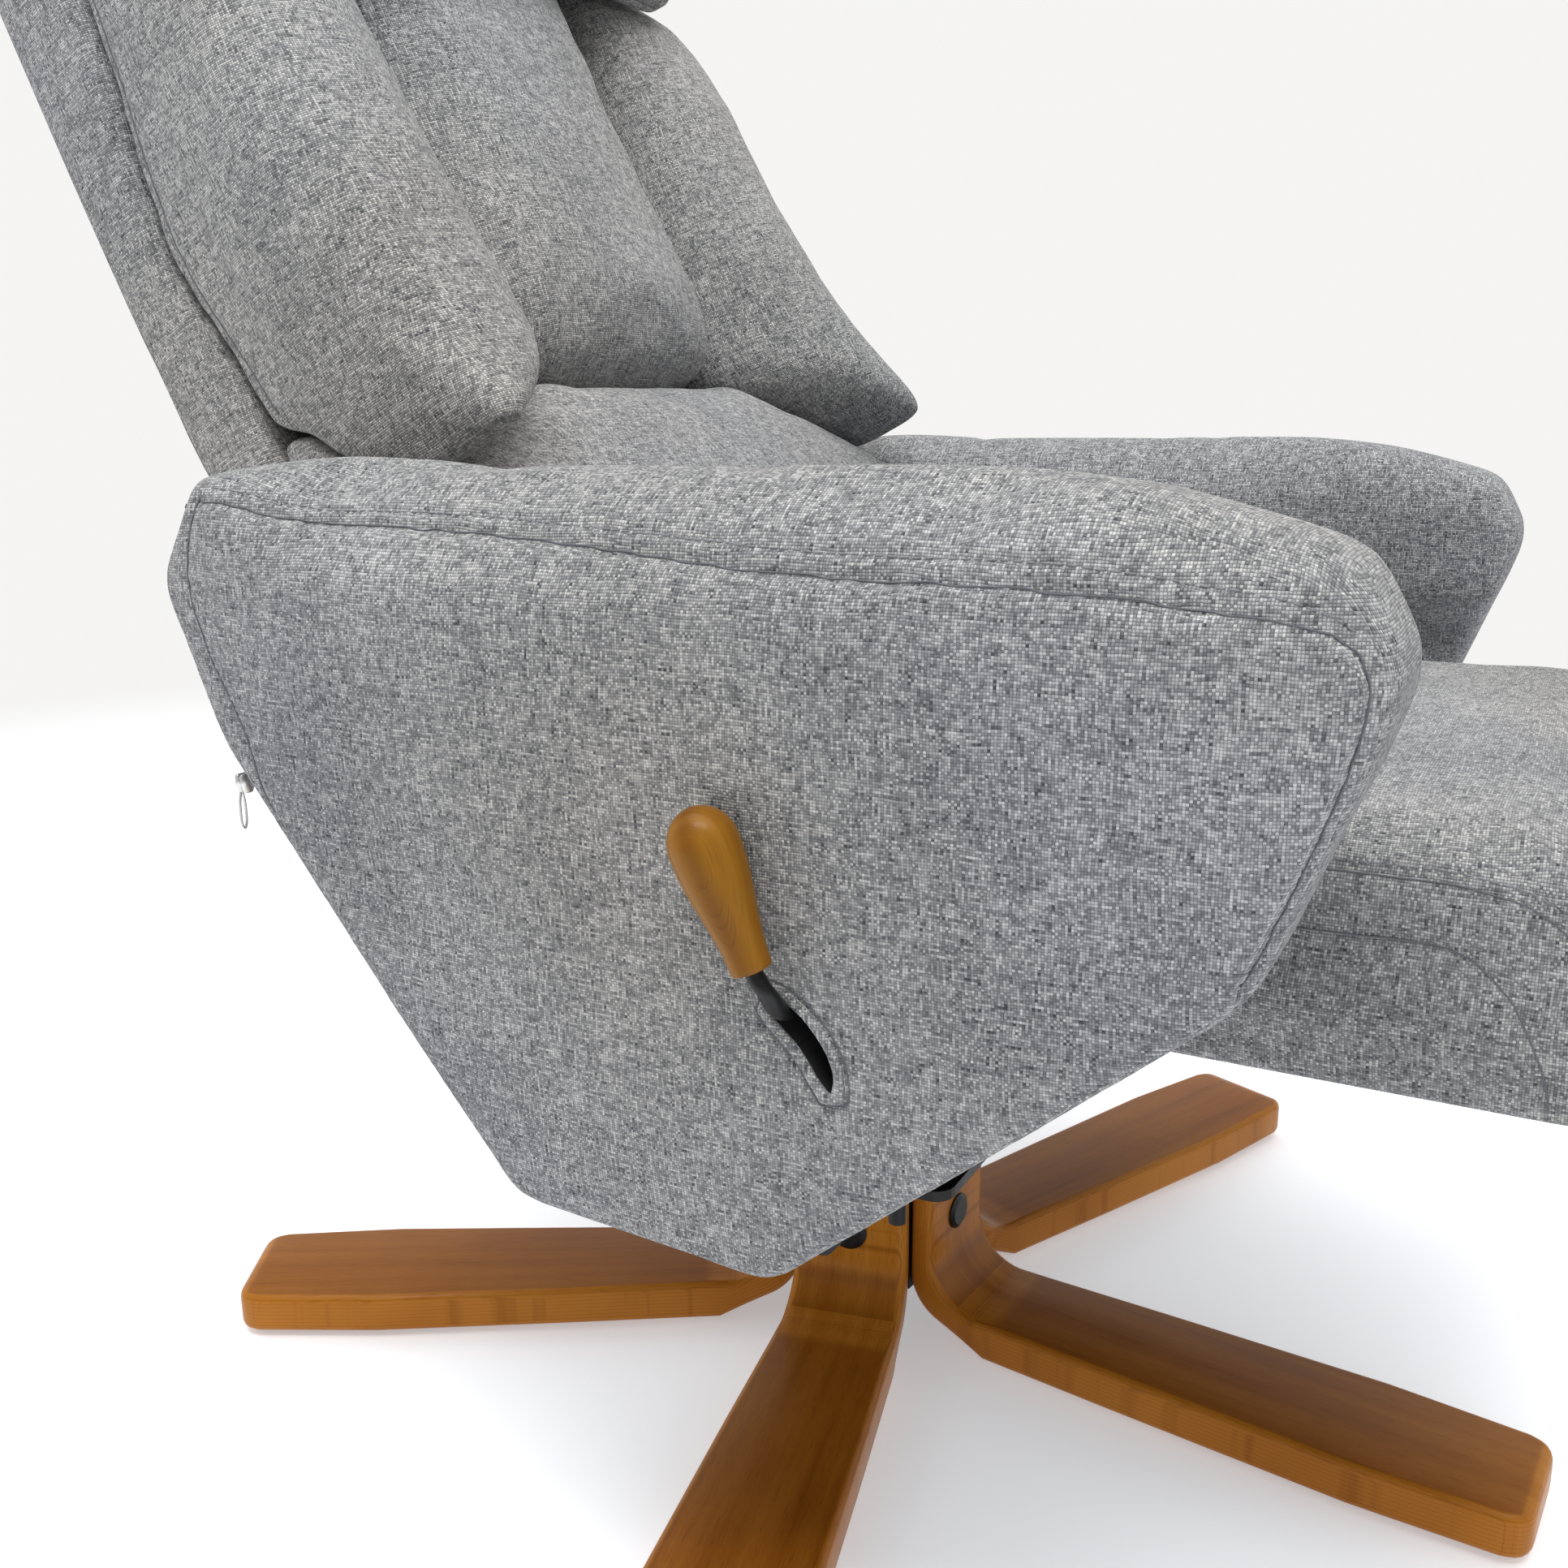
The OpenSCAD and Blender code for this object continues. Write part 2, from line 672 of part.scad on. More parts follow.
module back_shell() {
    color(fabric) on_back() difference() {
        intersection() {
            along_x(-back_half, back_half) polygon(rounded([
                [shell_front, 46], [40, -4], [64, -4], [70, 12], [73, 210], [87, 390],
                [87, back_len - 10], [60, back_len], [shell_front, back_len - 10]
            ], [2, 8, 4, 6, 200, 200, 20, 10, 4], 4));
            along_y(0, 100) polygon(rounded([
                [-back_half, -10], [back_half, -10], [back_half, 560], [200, back_len], [-200, back_len], [-back_half, 560]
            ], [10, 10, 60, 60, 60, 60], 5));
            translate([0, 0, -50]) linear_extrude(height = back_len + 100) polygon(rounded([
                [-back_half, shell_front], [back_half, shell_front], [back_half, 87], [-back_half, 87]
            ], [1, 1, 28, 28], 5));
        }
        along_x(-back_half + 8, back_half - 8) translate([shell_front - 1, -30])
            square([shell_room_v - shell_front + 1, back_len + 8]);
    }
}

// Lower edge of the wings seen from the side, in depth and height of the back's frame.
fold_line = [[-170, 85], [-75, 140], [-23, 177], [-4, 203], [16, 212], [24, 214]];

// Everything above the fold line, with the line moved up by lift.
module above_fold(lift) {
    along_x(-300, 300) translate([0, lift]) polygon(concat(fold_line, [[24, 700], [-170, 700]]));
}

module lumbar_pad() {
    color(fabric) on_back() intersection() {
        along_x(-252, 252) polygon(rounded([
            [shell_front, 36], [-62, 22], [-95, 50], [-100, 120], [-60, 212], [shell_front, 212]
        ], [0.5, 10, 20, 60, 8, 0.5], 4));
        union() {
            along_y(-140, 20) polygon(rounded([
                [-252, 20], [252, 20], [252, 138], [175, 181], [108, 212], [-108, 212], [-175, 181], [-252, 138]
            ], [12, 12, 8, 40, 30, 30, 40, 8], 4));
            difference() {
                along_y(-140, 20) translate([-252, 30]) square([504, 190]);
                above_fold(-1);
            }
        }
    }
}

// Side pad: the front face bulges most along a ridge near the outer edge.
module wing_pad(s) {
    ridge = [[226, -97, 172], [228, -65, 305], [227, -45, 431], [224, -32, 503]];
    color(fabric) on_back() on_side(s) intersection() {
        hull() {
            for (p = ridge) translate(p) sphere(r = 32, $fn = 28);
            for (p = [[136, -30, 235], [146, -32, 510]]) translate(p) sphere(r = 18, $fn = 28);
            block([120, shell_front - 1, 190], [256, shell_front, 535]);
        }
        along_y(-160, shell_front) polygon(rounded([
            [256, 138], [256, 500], [205, 540], [134, 540], [117, 250], [113, 216], [178, 184]
        ], [14, 30, 30, 8, 30, 3, 40], 4));
        above_fold(0);
    }
}

module centre_pad() {
    color(fabric) on_back() intersection() {
        hull() {
            for (x = [-78, 78], p = [[-48, 250], [-34, 516]]) translate([x, p[0], p[1]]) sphere(r = 32, $fn = 28);
            block([-122, shell_front - 1, 215], [122, shell_front, 548]);
        }
        along_y(-120, shell_front) polygon(rounded([
            [-106, 213], [106, 213], [116, 255], [130, 548], [-130, 548], [-116, 255]
        ], [24, 24, 20, 10, 10, 20], 4));
    }
}

// Pillow over the tops of the pads, cut away at the rear where the pads and the shell are.
module headrest_pillow() {
    pad_x = 185;
    color(fabric) on_back() difference() {
        hull() for (x = [-pad_x, pad_x]) {
            translate([x, -78, 524]) sphere(r = 30, $fn = 28);
            translate([x, -72, 624]) sphere(r = 34, $fn = 28);
            translate([x, -20, 640]) sphere(r = 30, $fn = 28);
        }
        block([-300, pads_front, 400], [300, 60, 549]);
        block([-300, shell_front - 0.4, 400], [300, 60, 800]);
    }
}

leg(0);  // leg_rear_left
leg(1);  // leg_rear_right
leg(2);  // leg_side_right
leg(3);  // leg_front
leg(4);  // leg_side_left
leg_glides();
leg_bolts();
bolt_caps();
hub();
hub_bushes();
swivel_plate();
swivel_spindle();
spindle_clip();
plate_bolts();
sub_rails();
cross_beams();
side_plate(-1);  // side_plate_right
side_plate(1);  // side_plate_left
seat_rail(-1);  // seat_rail_right
seat_rail(1);  // seat_rail_left
arm_frame(-1);  // arm_frame_right
arm_frame(1);  // arm_frame_left
arm_bolts();
arm_panel(-1);  // arm_panel_right
arm_panel(1);  // arm_panel_left
arm_roll(-1);  // arm_roll_right
arm_roll(1);  // arm_roll_left
zip_tape(-1);  // zip_tape_right
zip_tape(1);  // zip_tape_left
zip_slider(-1);  // zip_slider_right
zip_slider(1);  // zip_slider_left
lever_bush();
brake_shoe();
zip_pull(-1);  // zip_pull_right
zip_pull(1);  // zip_pull_left
lever_shaft();
lock_cam();
lever_rod();
lever_handle();
seat_frame();
seat_springs();
seat_cushion();
seat_dust_cover();
seat_runner(-1);  // seat_runner_right
seat_runner(1);  // seat_runner_left
hinge_plate(-1);  // hinge_plate_right
hinge_plate(1);  // hinge_plate_left
hinge_pins();
back_frame();
back_bracket(-1);  // back_bracket_right
back_bracket(1);  // back_bracket_left
guide_pins();
back_springs();
back_shell();
lumbar_pad();
wing_pad(-1);  // wing_pad_right
wing_pad(1);  // wing_pad_left
centre_pad();
headrest_pillow();
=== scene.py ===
"""Looks of the swivel recliner armchair: bentwood star base, upholstered arms, seat and back, wooden lever.

Lengths in the design are millimetres, turned to metres when a mesh is made. The frame is the CAD's: +Z up,
the sitter faces -Y, the sitter's right is -X. Parts of the back are drawn in the back's own frame
(x across, v to the rear, u up the back) and then leaned into place about the hinge.
"""

import json
import math

import bmesh
import bpy
import numpy as np
from mathutils import Matrix, Vector
from mathutils.bvhtree import BVHTree


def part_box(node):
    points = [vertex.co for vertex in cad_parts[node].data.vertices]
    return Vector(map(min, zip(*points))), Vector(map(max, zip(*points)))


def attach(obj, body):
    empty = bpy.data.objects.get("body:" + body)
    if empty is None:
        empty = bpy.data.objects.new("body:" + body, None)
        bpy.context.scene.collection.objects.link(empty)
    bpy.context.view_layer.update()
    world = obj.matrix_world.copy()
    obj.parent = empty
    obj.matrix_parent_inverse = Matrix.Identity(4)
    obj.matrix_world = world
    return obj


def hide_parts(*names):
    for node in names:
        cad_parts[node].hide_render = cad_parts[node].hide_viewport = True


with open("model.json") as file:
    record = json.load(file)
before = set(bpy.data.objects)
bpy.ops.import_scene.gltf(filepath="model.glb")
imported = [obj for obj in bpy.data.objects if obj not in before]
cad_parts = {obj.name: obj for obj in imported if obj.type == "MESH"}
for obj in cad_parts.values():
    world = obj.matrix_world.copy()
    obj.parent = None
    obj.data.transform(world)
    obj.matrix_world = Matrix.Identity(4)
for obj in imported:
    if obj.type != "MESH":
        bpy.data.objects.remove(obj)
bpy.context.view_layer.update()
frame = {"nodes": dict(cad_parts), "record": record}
nodes = frame["nodes"]

MM = 0.001
LEAN = math.radians(26)
HANDS = ((-1, "right"), (1, "left"))
HINGE = (130.0, 395.0)          # Y and Z of the back's hinge
FLOOR_Z = 0.0

# Star base
BASE_TURN = 48
LEG_NAMES = ["leg_rear_left", "leg_rear_right", "leg_side_right", "leg_front", "leg_side_left"]
HUB_FLAT, LEG_OUTER, LEG_TOP, LEG_REACH, LEG_HEIGHT, GLIDE = 50, 65, 30, 420, 165, 4
LEG_TIP = 14                    # length of the rounded tip

# Arms
ARM_OUT, ROLL_IN, PANEL_IN = 369, 265, 295
ARM_OUTLINE = [
    (180, 564), (208, 514), (172, 436), (13, 240), (-118, 233),
    (-206, 308), (-304, 392), (-345, 504), (-326, 543), (-250, 564),
]
ARM_RADII = [10, 22, 30, 20, 14, 60, 60, 30, 26, 120]

# Lever: pivot in Y and Z, slot radius, and the slot's two angles from +Y towards +Z
PIVOT = (-101.0, 321.0)
SLOT_R, SLOT_FROM, SLOT_TO = 53, 126, 166

# Seat and back
SEAT_HALF, SEAT_FRONT, SEAT_REAR, SEAT_UNDER, SEAT_TOP = 250, -440, 98, 318, 430
BACK_HALF, BACK_LEN = 258, 690

# Lower edge of the wings in the back's frame: depth and height
FOLD = np.array([(-170, 85), (-75, 140), (-23, 177), (-4, 203), (16, 212), (40, 214)])


# ---------------------------------------------------------------- outlines and fields

def arc(centre, radius, start, end, count):
    """Points of a circular arc in the plane, angles in degrees, as an array."""
    angles = np.radians(np.linspace(start, end, count + 1))
    return np.array(centre) + radius * np.stack([np.cos(angles), np.sin(angles)], axis=1)


def rounded(points, radii, count=6):
    """The outline with each corner rounded by its radius."""
    points = [np.array(p, float) for p in points]
    found = []
    for i, p in enumerate(points):
        a = points[i - 1] - p
        b = points[(i + 1) % len(points)] - p
        a, b = a / np.linalg.norm(a), b / np.linalg.norm(b)
        half = math.acos(max(-1, min(1, a @ b))) / 2
        centre = p + (a + b) / np.linalg.norm(a + b) * radii[i] / math.sin(half)
        first = p + a * radii[i] / math.tan(half) - centre
        last = p + b * radii[i] / math.tan(half) - centre
        start = math.degrees(math.atan2(first[1], first[0]))
        sweep = (math.degrees(math.atan2(last[1], last[0])) - start + 180) % 360 - 180
        found.append(arc(centre, radii[i], start, start + sweep, count))
    return np.concatenate(found)


def rectangle(u0, v0, u1, v1):
    return [(u0, v0), (u1, v0), (u1, v1), (u0, v1)]


def in_outline(outline, u, v):
    """Signed distance of the points (u, v) from a closed outline, negative inside."""
    u, v = np.broadcast_arrays(u, v)
    best = np.full(u.shape, 1e9)
    odd = np.zeros(u.shape, bool)
    for a, b in zip(outline, np.roll(outline, -1, axis=0)):
        du, dv = b - a
        length = du * du + dv * dv
        if length < 1e-9:
            continue
        t = np.clip(((u - a[0]) * du + (v - a[1]) * dv) / length, 0, 1)
        best = np.minimum(best, np.hypot(u - a[0] - t * du, v - a[1] - t * dv))
        crosses = (a[1] > v) != (b[1] > v)
        if dv != 0:
            odd ^= crosses & (u < a[0] + (v - a[1]) * du / dv)
    return np.where(odd, -best, best)


def both(a, b, r):
    """Intersection of two fields with an edge of radius r."""
    outside = np.hypot(np.maximum(a + r, 0), np.maximum(b + r, 0))
    return np.minimum(np.maximum(a + r, b + r), 0) + outside - r


def ease(x, low, high):
    """0 below low, 1 above high, smooth between."""
    t = np.clip((x - low) / (high - low), 0, 1)
    return t * t * (3 - 2 * t)


def surface(field, low, high, step):
    """Vertices and quads where field(x, y, z) is zero inside the box from low to high, by surface nets."""
    axes = [np.arange(a - 2 * step, b + 3 * step, step) for a, b in zip(low, high)]
    x, y, z = axes[0][:, None, None], axes[1][None, :, None], axes[2][None, None, :]
    value = np.broadcast_to(field(x, y, z), [len(a) for a in axes])
    inside = value < 0
    corner = [np.array(c) for c in np.ndindex(2, 2, 2)]
    cells = [n - 1 for n in value.shape]

    def at(array, c):
        return array[c[0]:c[0] + cells[0], c[1]:c[1] + cells[1], c[2]:c[2] + cells[2]]

    total = sum(at(inside, c).astype(int) for c in corner)
    active = (total > 0) & (total < 8)
    summed = np.zeros((*cells, 3))
    count = np.zeros(cells)
    for a in corner:
        for axis in range(3):
            if a[axis]:
                continue
            b = a.copy()
            b[axis] = 1
            fa, fb = at(value, a), at(value, b)
            crossed = ((fa < 0) != (fb < 0)) & active
            share = np.where(crossed, fa / np.where(crossed, fa - fb, 1), 0)
            summed += np.where(crossed[..., None], a + share[..., None] * (b - a), 0)
            count += crossed
    number = np.full(cells, -1)
    number[active] = np.arange(active.sum())
    places = np.argwhere(active) + summed[active] / count[active][:, None]
    vertices = places * step + np.array([a[0] for a in axes])
    quads = []
    for axis in range(3):
        side = np.moveaxis(inside, axis, 0)[:, 1:-1, 1:-1]
        ids = np.moveaxis(number, axis, 0)
        changed = side[:-1] != side[1:]
        ring = [ids[:, :-1, :-1], ids[:, 1:, :-1], ids[:, 1:, 1:], ids[:, :-1, 1:]]
        quad = np.stack([r[changed] for r in ring], axis=1)
        flip = side[1:][changed] != (axis == 1)
        quads.append(np.where(flip[:, None], quad[:, ::-1], quad))
    return vertices, np.concatenate(quads)


def leaned(points):
    """Points of the back's own frame (x, v, u) in the chair's frame."""
    p = np.asarray(points, float)
    c, s = math.cos(LEAN), math.sin(LEAN)
    y = HINGE[0] + p[:, 1] * c + p[:, 2] * s
    z = HINGE[1] - p[:, 1] * s + p[:, 2] * c
    return np.stack([p[:, 0], y, z], axis=1)


# ---------------------------------------------------------------- meshes

def shade_smooth(mesh):
    mesh.polygons.foreach_set("use_smooth", [True] * len(mesh.polygons))


def make(name, vertices, faces):
    """A mesh object from millimetre vertices."""
    mesh = bpy.data.meshes.new(name)
    mesh.from_pydata((np.asarray(vertices) * MM).tolist(), [], [list(map(int, f)) for f in faces])
    mesh.update()
    shade_smooth(mesh)
    obj = bpy.data.objects.new(name, mesh)
    bpy.context.scene.collection.objects.link(obj)
    return obj


def get_points(obj):
    """Vertex places of an object in millimetres."""
    co = np.zeros(len(obj.data.vertices) * 3, np.float32)
    obj.data.vertices.foreach_get("co", co)
    return co.reshape(-1, 3).astype(float) / MM


def set_points(obj, points):
    obj.data.vertices.foreach_set("co", (points * MM).astype(np.float32).ravel())
    obj.data.update()


def get_normals(obj):
    normals = np.zeros(len(obj.data.vertices) * 3, np.float32)
    obj.data.vertex_normals.foreach_get("vector", normals)
    return normals.reshape(-1, 3).astype(float)


def relax(obj, rounds, keep=0.0):
    """Evens the mesh: each point moves to the middle of its neighbours, rounds times."""
    edges = np.zeros(len(obj.data.edges) * 2, int)
    obj.data.edges.foreach_get("vertices", edges)
    a, b = edges.reshape(-1, 2).T
    points = get_points(obj)
    count = np.bincount(np.concatenate([a, b]), minlength=len(points))[:, None]
    for _ in range(rounds):
        total = np.zeros_like(points)
        np.add.at(total, a, points[b])
        np.add.at(total, b, points[a])
        points = keep * points + (1 - keep) * total / count
    set_points(obj, points)


def refine(obj):
    """Subdivides the mesh once, smoothly, and keeps the result."""
    modifier = obj.modifiers.new("refine", "SUBSURF")
    modifier.levels = 1
    evaluated = obj.evaluated_get(bpy.context.evaluated_depsgraph_get())
    mesh = bpy.data.meshes.new_from_object(evaluated)
    obj.modifiers.remove(modifier)
    old, obj.data = obj.data, mesh
    bpy.data.meshes.remove(old)
    mesh.name = obj.name
    shade_smooth(mesh)


def swell(pieces, frames=20, pressure=4.0):
    """Cloth simulation under inner pressure. Each of the pieces is an object, the most that it may swell in
    millimetres, and a function that says which points are held."""
    scene = bpy.context.scene
    scene.frame_start, scene.frame_end = 1, frames
    for obj, _, held in pieces:
        cloth = obj.modifiers.new("swell", "CLOTH")
        settings = cloth.settings
        settings.quality = 4
        settings.mass = 0.4
        settings.tension_stiffness = settings.compression_stiffness = 18
        settings.shear_stiffness = 8
        settings.bending_stiffness = 1.2
        settings.use_pressure = True
        settings.uniform_pressure_force = pressure
        settings.effector_weights.gravity = 0
        cloth.collision_settings.use_collision = False
        cloth.point_cache.frame_start, cloth.point_cache.frame_end = 1, frames
        group = obj.vertex_groups.new(name="held")
        group.add(np.flatnonzero(held(get_points(obj))).tolist(), 1.0, "REPLACE")
        settings.vertex_group_mass = "held"
    for f in range(1, frames + 1):
        scene.frame_set(f)
    graph = bpy.context.evaluated_depsgraph_get()
    for obj, cap, _ in pieces:
        rest = get_points(obj)
        moved = np.zeros(len(rest) * 3, np.float32)
        obj.evaluated_get(graph).data.vertices.foreach_get("co", moved)
        shift = moved.reshape(-1, 3) / MM - rest
        length = np.linalg.norm(shift, axis=1, keepdims=True)
        shift *= cap * np.tanh(length / cap) / np.maximum(length, 1e-6)
        obj.modifiers.clear()
        obj.vertex_groups.clear()
        set_points(obj, rest + shift)
    scene.frame_set(1)


def curve_through(points, step=3.0, closed=False):
    """A smooth line through the points, with a point about every step."""
    p = np.asarray(points, float)
    if closed:
        ends = np.concatenate([p[-1:], p, p[:2]])
    else:
        ends = np.concatenate([2 * p[:1] - p[1:2], p, 2 * p[-1:] - p[-2:-1]])
    line = []
    for a, b, c, d in zip(ends, ends[1:], ends[2:], ends[3:]):
        count = max(2, int(np.linalg.norm(c - b) / step))
        for t in np.arange(count)[:, None] / count:
            square, cube = 2 * a - 5 * b + 4 * c - d, 3 * b - a - 3 * c + d
            line.append(0.5 * (2 * b + (c - a) * t + square * t**2 + cube * t**3))
    if not closed:
        line.append(p[-1:])
    return np.concatenate([np.atleast_2d(q) for q in line])


def tree_of(obj):
    """A search tree over the object's faces, in millimetres."""
    faces = [p.vertices[:] for p in obj.data.polygons]
    return BVHTree.FromPolygons(get_points(obj).tolist(), faces)


def laid_on(tree, line, lift):
    """The line moved to the nearest place on a surface and lifted off it."""
    found = []
    for p in line:
        place, normal, _, _ = tree.find_nearest(Vector(p))
        found.append(np.array(place + normal * lift))
    found = np.array(found)
    found[1:-1] = (found[:-2] + 2 * found[1:-1] + found[2:]) / 4
    return found


def carve(obj, line, depth, width):
    """Presses a groove of that depth and half width into the mesh along the line."""
    points = get_points(obj)
    near = np.all((points > line.min(0) - 3 * width) & (points < line.max(0) + 3 * width), axis=1)
    chosen = np.flatnonzero(near)
    if not len(chosen):
        return
    best = np.full(len(chosen), 1e9)
    for p in line:
        best = np.minimum(best, np.linalg.norm(points[chosen] - p, axis=1))
    points[chosen] -= get_normals(obj)[chosen] * (depth * np.exp(-(best / width) ** 2))[:, None]
    set_points(obj, points)


def tube_faces(count, sides, closed=False):
    """Quads between count rings of points, with a cap on both ends unless the tube is closed."""
    faces = []
    for i in range(count if closed else count - 1):
        j = (i + 1) % count
        for k in range(sides):
            m = (k + 1) % sides
            faces.append((i * sides + k, i * sides + m, j * sides + m, j * sides + k))
    if not closed:
        faces.append(tuple(range(sides))[::-1])
        faces.append(tuple((count - 1) * sides + k for k in range(sides)))
    return faces


def sweep(line, radius, sides=8, closed=False, flat=1.0, up=(0, 0, 1)):
    """A tube along the line. radius is one number or one for each point; flat squeezes it across up."""
    line = np.asarray(line, float)
    radius = np.broadcast_to(radius, len(line))
    ahead = np.roll(line, -1, axis=0) - np.roll(line, 1, axis=0)
    if not closed:
        ahead[0], ahead[-1] = line[1] - line[0], line[-1] - line[-2]
    ahead /= np.maximum(np.linalg.norm(ahead, axis=1, keepdims=True), 1e-9)
    side = np.cross(ahead, np.array(up, float))
    side /= np.maximum(np.linalg.norm(side, axis=1, keepdims=True), 1e-9)
    rise = np.cross(side, ahead)
    rings = []
    for k in range(sides):
        a = 2 * math.pi * k / sides
        rings.append(line + radius[:, None] * (math.cos(a) * side + flat * math.sin(a) * rise))
    vertices = np.stack(rings, axis=1).reshape(-1, 3)
    return vertices, tube_faces(len(line), sides, closed)


def joined(parts):
    """Several (vertices, faces) as one."""
    vertices, faces, start = [], [], 0
    for v, f in parts:
        vertices.append(np.asarray(v, float))
        faces += [tuple(int(i) + start for i in face) for face in f]
        start += len(v)
    return np.concatenate(vertices), faces


def stitches(line, radius, dash, gap):
    """Short thread dashes along the line."""
    length = np.concatenate([[0], np.cumsum(np.linalg.norm(np.diff(line, axis=0), axis=1))])
    parts = []
    for start in np.arange(0, length[-1] - dash, dash + gap):
        t = np.linspace(start, start + dash, 4)
        run = np.stack([np.interp(t, length, line[:, i]) for i in range(3)], axis=1)
        parts.append(sweep(run, radius * np.array([0.55, 1, 1, 0.55]), sides=6))
    return joined(parts)


def lathe(profile, sides=48):
    """Solid of revolution about Z of (radius, height) points that start and end on the axis."""
    profile = np.asarray(profile, float)
    body = profile[1:-1]
    angles = np.arange(sides) * 2 * math.pi / sides
    ring = np.stack([np.outer(body[:, 0], np.cos(angles)), np.outer(body[:, 0], np.sin(angles)),
                     np.outer(body[:, 1], np.ones(sides))], axis=2).reshape(-1, 3)
    vertices = np.concatenate([ring, [[0, 0, profile[0, 1]], [0, 0, profile[-1, 1]]]])
    first, last, rim = len(ring), len(ring) + 1, len(ring) - sides
    faces = tube_faces(len(body), sides)[:-2]
    for k in range(sides):
        m = (k + 1) % sides
        faces += [(first, m, k), (last, rim + k, rim + m)]
    return vertices, faces


def placed(vertices, origin, ahead):
    """Vertices turned so that Z points ahead, and moved to origin."""
    turn = Vector(ahead).to_track_quat("Z", "Y").to_matrix()
    return np.asarray(vertices) @ np.array(turn).T + np.array(origin)


# ---------------------------------------------------------------- materials

class Graph:
    """The node tree of a material, or of the world where one is given, with short calls to add nodes."""

    def __init__(self, name, world=None):
        self.block = world or bpy.data.materials.new(name)
        self.block.use_nodes = True
        self.tree = self.block.node_tree
        self.shader = self.tree.nodes.get("Principled BSDF")

    def node(self, kind, inputs=(), **settings):
        made = self.tree.nodes.new("ShaderNode" + kind)
        for key, value in settings.items():
            setattr(made, key, value)
        for key, value in dict(inputs).items():
            self.put(made.inputs[key], value)
        return made

    def put(self, socket, value):
        if isinstance(value, bpy.types.NodeSocket):
            self.tree.links.new(value, socket)
        else:
            socket.default_value = value

    def math(self, operation, *values):
        return self.node("Math", enumerate(values), operation=operation).outputs[0]

    def plus(self, a, b):
        return self.math("ADD", a, b)

    def minus(self, a, b):
        return self.math("SUBTRACT", a, b)

    def times(self, a, b):
        return self.math("MULTIPLY", a, b)

    def vector(self, operation, *values):
        return self.node("VectorMath", enumerate(values), operation=operation).outputs[0]

    def scaled(self, vector, share):
        return self.node("VectorMath", {0: vector, "Scale": share}, operation="SCALE").outputs[0]

    def mix(self, share, a, b, blend="MIX"):
        return self.node("Mix", {0: share, 6: a, 7: b}, data_type="RGBA", blend_type=blend).outputs[2]

    def between(self, share, a, b):
        return self.node("Mix", {0: share, 2: a, 3: b}, data_type="FLOAT").outputs[0]

    def join(self, x, y, z=0.0):
        return self.node("CombineXYZ", enumerate((x, y, z))).outputs[0]

    def noise(self, vector, scale, detail=2.0, roughness=0.5):
        inputs = {"Vector": vector, "Scale": scale, "Detail": detail, "Roughness": roughness}
        return self.node("TexNoise", inputs).outputs[0]

    def ramp(self, value, *stops):
        made = self.node("ValToRGB", {"Fac": value})
        ramp = made.color_ramp
        while len(ramp.elements) < len(stops):
            ramp.elements.new(0.5)
        for element, (place, colour) in zip(ramp.elements, stops):
            element.position = place
            element.color = (*colour, 1)
        return made.outputs[0]

    def remap(self, value, low, high, to_low=0.0, to_high=1.0):
        inputs = {"Value": value, "From Min": low, "From Max": high, "To Min": to_low, "To Max": to_high}
        return self.node("MapRange", inputs).outputs[0]

    def bump(self, height, strength, distance):
        inputs = {"Height": height, "Strength": strength, "Distance": distance}
        self.put(self.shader.inputs["Normal"], self.node("Bump", inputs).outputs[0])

    def set(self, **values):
        names = {"colour": "Base Color", "coat": "Coat Weight", "sheen": "Sheen Weight",
                 "specular": "Specular IOR Level"}
        for key, value in values.items():
            name = names.get(key, key.replace("_", " ").title())
            self.put(self.shader.inputs[name], value)
        return self.block


